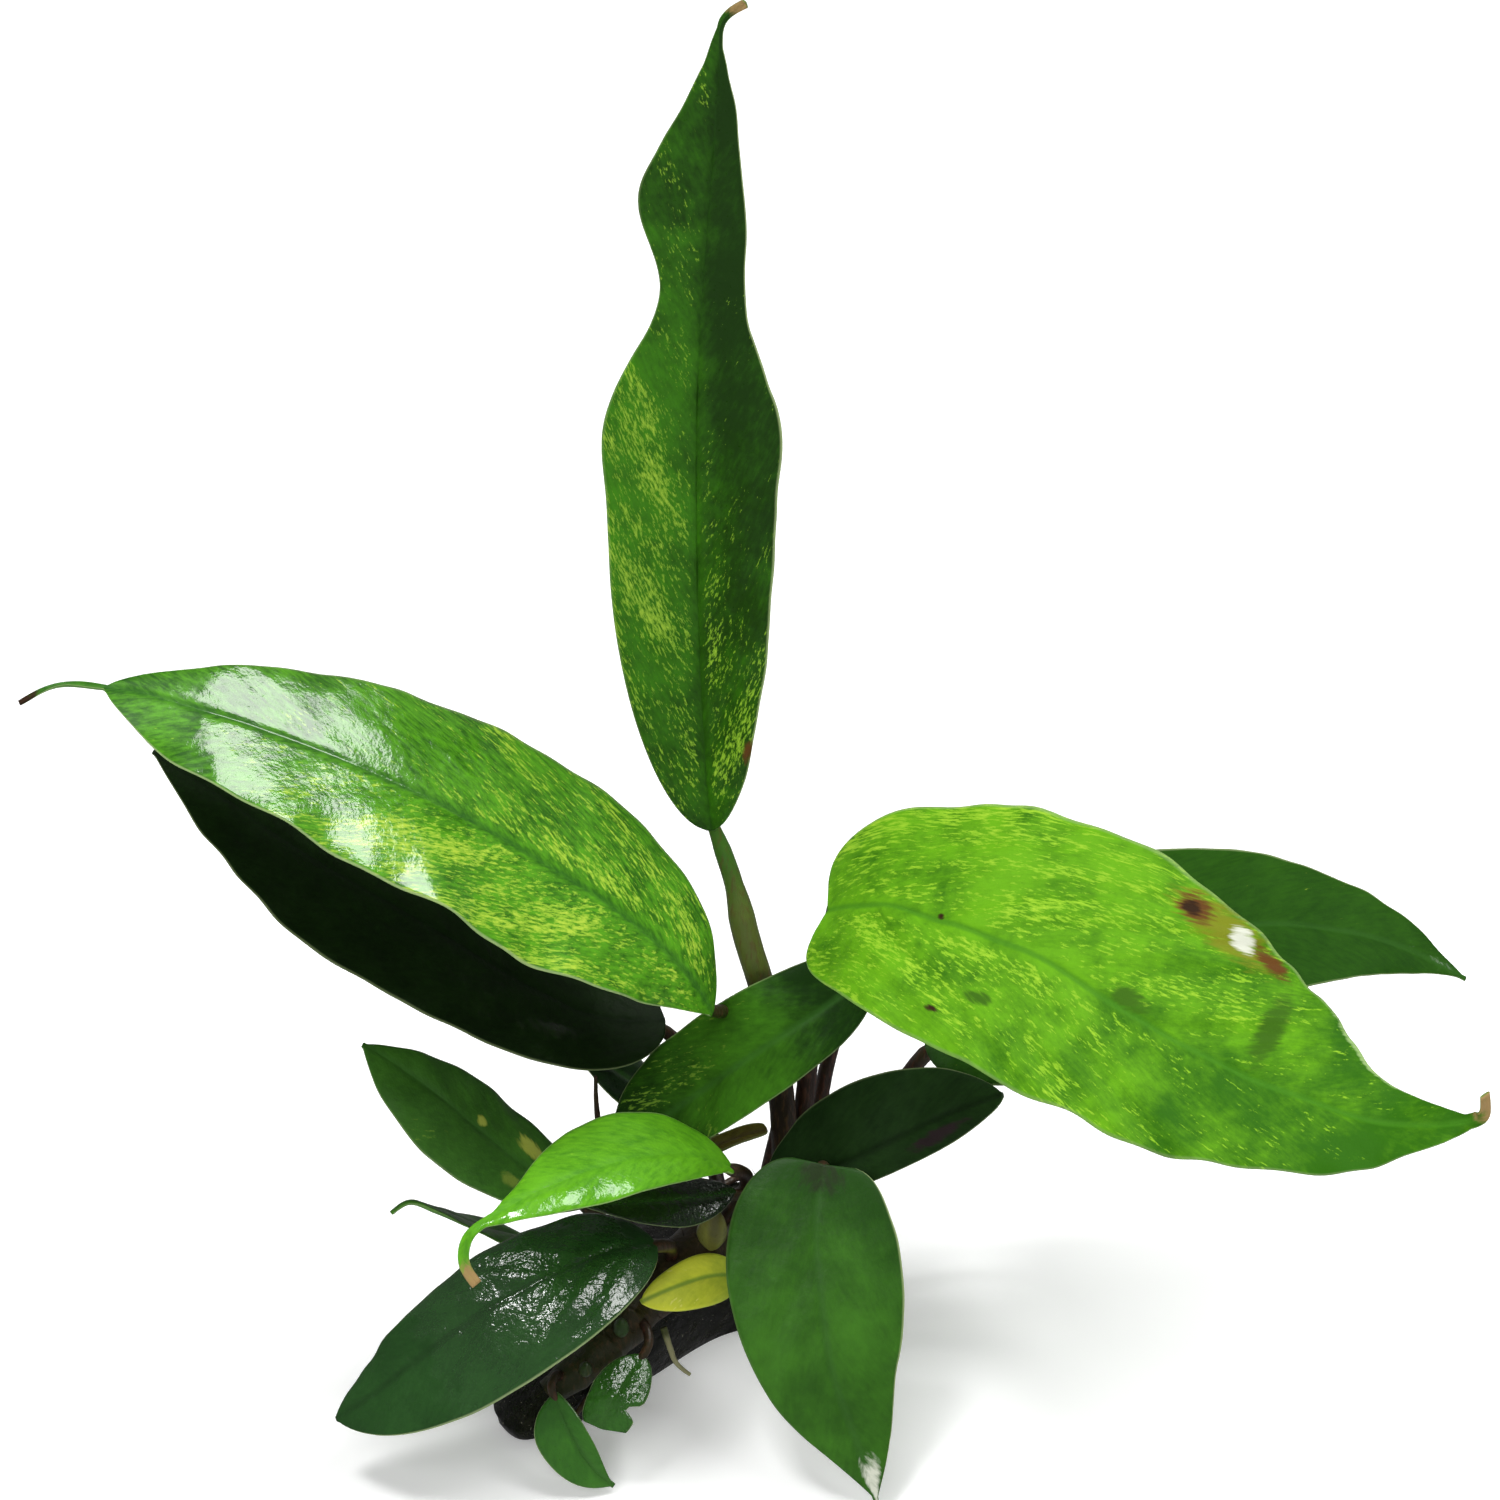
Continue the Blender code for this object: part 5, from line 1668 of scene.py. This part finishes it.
@dataclass(frozen=True)
class Buds:
    """Dormant buds on the rhizome: small eggs with overlapping scales."""

    nodes: tuple[str, ...] = ("bud_middle", "bud_end")
    rings: int = 14
    sides: int = 20
    scales: int = 3
    lip: float = 0.12  # how far in each scale runs at its upper edge, as a share of the radius
    taper: float = 0.25  # how much thinner the top is, as a share of the radius
    sink: float = 0.8  # how far each bud is set into the rhizome

    def build(self) -> None:
        """Makes a piece for each bud, to the size of its CAD node."""
        line, _ = smooth_line(RHIZOME_LINE, np.linspace(0, 1, 60))
        for node in self.nodes:
            low, high = (np.array(corner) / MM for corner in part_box(node))
            middle = (low + high) / 2
            radii = (high - low) / 2
            nearest = line[np.argmin(np.linalg.norm(line - middle, axis=1))]
            middle += unit(nearest - middle) * self.sink
            bm = bmesh.new()
            bmesh.ops.create_uvsphere(bm, u_segments=self.sides, v_segments=self.rings, radius=1.0)
            for vert in bm.verts:
                height = (vert.co.z + 1) / 2
                lip = 1 - self.lip * ((height * self.scales) % 1)
                taper = 1 - self.taper * height**2
                vert.co.x *= lip * taper
                vert.co.y *= lip * taper
                vert.co = Vector((np.array(vert.co) * radii + middle) * MM)
            mesh = bpy.data.meshes.new(node)
            bm.to_mesh(mesh)
            bm.free()
            mesh.shade_smooth()
            mesh.materials.append(BUD_FINISH.material(node))
            add_piece(node + "_scaled", mesh, (node,))


class Roots:
    """Roots that cling to the stone, and one free tip."""

    def build(self) -> None:
        """Gives each clinging root its finish, and makes the free tip's piece."""
        for seed, (name, (start, route)) in enumerate(CLINGING_ROOTS.items()):
            on_stone = [stone_point(*spot) + stone_way(*spot) * ROOT_RADIUS for spot in route]
            share = np.array([start])
            origin = smooth_line(RHIZOME_LINE, share)[0][0]
            points = [*reversed(on_stone), origin]
            radii = (0.5 * ROOT_RADIUS, 0.8 * ROOT_RADIUS, ROOT_RADIUS)
            tube = Tube(name, points, radii, ROOT_FINISH, relief=0.35, relief_size=2.0, seed=seed)
            add_piece(name + "_skin", tube.mesh(), (name,))
        tube = Tube("root_free", FREE_ROOT, FREE_ROOT_RADII, PALE_ROOT, step=0.2, relief=0.1)
        add_piece("root_tip", tube.mesh(), ("root_free",))


def stone_point(turn: float, level: float) -> np.ndarray:
    """A point of the stone.

    Args:
        turn: From 0 to 1, once round the plan.
        level: From 0 at the foot to 1 at the top.

    Returns:
        The point, in millimetres.
    """
    count = len(STONE_PLAN)
    first = math.floor(turn * count)
    s = turn * count - first
    before, here, after, beyond = (
        np.array(STONE_PLAN[(first + k) % count]) for k in (-1, 0, 1, 2)
    )
    edge = here * 2 + (after - before) * s + (2 * before - 5 * here + 4 * after - beyond) * s**2
    edge = (edge + (3 * here - before - 3 * after + beyond) * s**3) / 2
    plan = edge * between(STONE_SHARES, np.array([level]))[0]
    lower = 1 - STONE_SLOPE * float(plan @ np.array(STONE_LOW_END))
    return np.array([*plan, between(STONE_HEIGHTS, np.array([level]))[0] * lower])


def stone_way(turn: float, level: float) -> np.ndarray:
    """The way out of the stone's surface at a point."""
    along = stone_point(turn + 0.01, level) - stone_point(turn - 0.01, level)
    upward = stone_point(turn, min(level + 0.02, 1)) - stone_point(turn, level - 0.02)
    return unit(np.cross(along, upward))


@dataclass(frozen=True)
class Stone:
    """The stone: a water-worn lump with a flat underside, dark and wet."""

    turns: int = 150
    levels: int = 56
    lump: float = 1.8  # depth of its broad relief
    lump_size: float = 7.0
    pit: float = 0.7  # depth of its fine relief
    pit_size: float = 1.8
    foot: float = 2.0  # height above the underside over which the relief begins

    def material(self) -> bpy.types.Material:
        """Black stone with brown film, pale grains that also stand in for painted glints, and water on it.
        """
        shader = Shader("stone")
        own = shader.place()
        cloud = shader.noise(own, 5.0, 4.0, 0.6)
        colour = shader.mix(shader.step(cloud, 0.4, 0.7), (0.003, 0.004, 0.002), (0.010, 0.011, 0.004))
        # Pale specks: grains, and also painted glints of the wet surface.
        grain = shader.noise(own, 0.35, 2.0, 0.6)
        colour = shader.mix(shader.step(grain, 0.68, 0.74), colour, (0.20, 0.19, 0.14))
        normal = shader.bump(shader.noise(own, 1.1, 4.0, 0.6), 1.0, 0.9)
        normal = shader.bump(grain, 0.5, 0.12, normal)
        roughness = shader.math("MULTIPLY_ADD", cloud, 0.3, 0.1)
        return shader.finish(
            Base_Color=colour,
            Roughness=roughness,
            Specular_IOR_Level=0.25,
            Coat_Weight=0.6,
            Coat_Roughness=0.08,
            Coat_IOR=1.33,
            Normal=normal,
            Coat_Normal=normal,
        )

    def shell(self) -> bpy.types.Mesh:
        """The stone's even shape: rings up its side, a flat underside and a point at the top."""
        points = []
        for level in np.arange(self.levels) / self.levels:
            points += [stone_point(turn / self.turns, level) for turn in range(self.turns)]
        points.append(stone_point(0, 1))
        faces = [tuple(reversed(range(self.turns)))]
        for ring in range(self.levels - 1):
            for turn in range(self.turns):
                after = (turn + 1) % self.turns
                low = ring * self.turns
                high = low + self.turns
                faces.append((low + turn, low + after, high + after, high + turn))
        last = (self.levels - 1) * self.turns
        top = len(points) - 1
        for turn in range(self.turns):
            faces.append((last + turn, last + (turn + 1) % self.turns, top))
        mesh = bpy.data.meshes.new("stone")
        mesh.from_pydata(np.array(points) * MM, [], faces)
        return mesh

    def build(self) -> None:
        """Makes the stone's piece."""
        tree = Tree("stone")
        names = ("Lump", "Lump size", "Pit", "Pit size")
        for name, value in zip(names, (self.lump, self.lump_size, self.pit, self.pit_size)):
            tree.interface(name, "NodeSocketFloat", value * MM)
        tree.interface("Seed", "NodeSocketFloat", 4.0)
        skin = tree.take("Geometry")
        for name in ("Lump", "Pit"):
            position = tree.add("GeometryNodeInputPosition", {}).outputs[0]
            height = tree.add("ShaderNodeSeparateXYZ", {0: position}).outputs[2]
            inputs = {"Value": height, "From Min": 0.0001, "From Max": self.foot * MM}
            inputs |= {"To Max": tree.take(name)}
            rise = tree.add("ShaderNodeMapRange", inputs).outputs[0]
            skin = tree.swollen(skin, tree.take(name + " size"), rise, tree.take("Seed"))
        tree.close(skin, self.material())
        mesh = tree.apply(self.shell())
        add_piece("wet_stone", mesh, ("stone",))


@dataclass(frozen=True)
class Lamp:
    """A soft rectangular lamp that looks at the plant."""

    name: str
    way: Point  # the way from the plant to it
    distance: float
    size: tuple[float, float]  # its width and height
    power: float  # in watts
    gloss: bool = True  # whether it shows in reflections

    def build(self, target: Vector) -> None:
        """Hangs the lamp.

        Args:
            target: What it looks at, in metres.
        """
        data = bpy.data.lights.new(self.name, "AREA")
        data.shape = "RECTANGLE"
        data.size = self.size[0] * MM
        data.size_y = self.size[1] * MM
        data.energy = self.power
        lamp = bpy.data.objects.new(self.name, data)
        bpy.context.scene.collection.objects.link(lamp)
        lamp.location = target + Vector(self.way).normalized() * self.distance * MM
        lamp.rotation_euler = (target - lamp.location).to_track_quat("-Z", "Y").to_euler()
        lamp.visible_glossy = self.gloss


@dataclass(frozen=True)
class Studio:
    """The floor, the backdrop, the lamps and the camera."""

    target: Point = (12, 11.5, 86.5)  # what the camera and the lamps look at
    distance: float = 443  # of the camera
    elevation: float = 30  # degrees above the floor
    lens: float = 85
    sensor: float = 36
    floor_size: float = 6000
    floor_glow: float = 0.22  # how much the floor shines by itself
    room: float = 0.14  # how bright the room is all round
    # The bowl round the floor: radius and height of each ring.
    bowl: tuple[tuple[float, float], ...] = ((900, 1), (3000, 10), (4500, 200), (5300, 900), (5600, 3500))
    bowl_turns: int = 96
    lamps: tuple[Lamp, ...] = (
        Lamp("window", (0.48, 0.08, 0.87), 1400, (760, 760), 15.5),
        Lamp("side_window", (-0.3, -0.02, 0.95), 1400, (340, 340), 10),
        Lamp("front", (-0.3, -0.8, 0.7), 2200, (2000, 1600), 26, gloss=False),
    )

    def scenery(
        self, mesh: bpy.types.Mesh, colour: Colour, roughness: float, glow: float, hidden: tuple[str, ...]
    ) -> None:
        """Links a mesh as scenery, in a dull material that glows.

        Args:
            mesh: Its mesh, in metres.
            colour: Its colour.
            roughness: Its roughness.
            glow: How much it shines by itself.
            hidden: The kinds of ray that don't meet it.
        """
        shader = Shader(mesh.name)
        material = shader.finish(
            Base_Color=colour,
            Roughness=roughness,
            Specular_IOR_Level=0.0,
            Emission_Color=(1, 1, 1),
            Emission_Strength=glow,
        )
        mesh.materials.append(material)
        piece = bpy.data.objects.new(mesh.name, mesh)
        bpy.context.scene.collection.objects.link(piece)
        for ray in hidden:
            setattr(piece, "visible_" + ray, False)

    def floor(self) -> None:
        """A plain pale floor that reflections don't show."""
        bm = bmesh.new()
        bmesh.ops.create_grid(bm, x_segments=1, y_segments=1, size=self.floor_size * MM)
        mesh = bpy.data.meshes.new("floor")
        bm.to_mesh(mesh)
        bm.free()
        self.scenery(mesh, (0.93, 0.93, 0.93), 0.9, self.floor_glow, ("glossy",))

    def backdrop(self) -> None:
        """A plain white bowl round the floor. Only the camera meets it, so it lights nothing."""
        turns = self.bowl_turns
        points = []
        for radius, height in self.bowl:
            for turn in np.arange(turns) / turns * math.tau:
                points.append((radius * math.cos(turn), radius * math.sin(turn), height))
        faces = []
        for ring in range(len(self.bowl) - 1):
            for turn in range(turns):
                low = ring * turns
                after = (turn + 1) % turns
                faces.append((low + turn, low + turns + turn, low + turns + after, low + after))
        mesh = bpy.data.meshes.new("backdrop")
        mesh.from_pydata(np.array(points) * MM, [], faces)
        hidden = ("diffuse", "glossy", "transmission", "shadow")
        self.scenery(mesh, (0.0, 0.0, 0.0), 1.0, 1.0, hidden)

    def light(self) -> None:
        """Two bright windows high up, a large dim lamp in front without gloss, and a dim room."""
        for lamp in self.lamps:
            lamp.build(Vector(self.target) * MM)
        world = bpy.data.worlds.new("room")
        world.use_nodes = True
        background = world.node_tree.nodes["Background"]
        background.inputs["Color"].default_value = (1, 1, 1, 1)
        background.inputs["Strength"].default_value = self.room
        bpy.context.scene.world = world

    def camera(self) -> None:
        """The camera that looks at the plant from the front and a little above."""
        data = bpy.data.cameras.new("camera")
        data.lens = self.lens
        data.sensor_width = self.sensor
        camera = bpy.data.objects.new("camera", data)
        bpy.context.scene.collection.objects.link(camera)
        lean = math.radians(self.elevation)
        way = Vector((0, -math.cos(lean), math.sin(lean)))
        camera.location = (Vector(self.target) + way * self.distance) * MM
        camera.rotation_euler = (-way).to_track_quat("-Z", "Y").to_euler()
        bpy.context.scene.camera = camera

    def build(self) -> None:
        """Sets up everything round the plant."""
        self.floor()
        self.backdrop()
        self.light()
        self.camera()
        bpy.context.scene.view_settings.view_transform = "Standard"


def main() -> None:
    """Builds the plant, its stone and the studio."""
    logging.basicConfig(level=logging.INFO, format="%(name)s: %(message)s")
    Studio().build()
    Foliage(BLADES, STEMS).build()
    Rhizome().build()
    Buds().build()
    Roots().build()
    Stone().build()


if __name__ == "__main__":
    main()
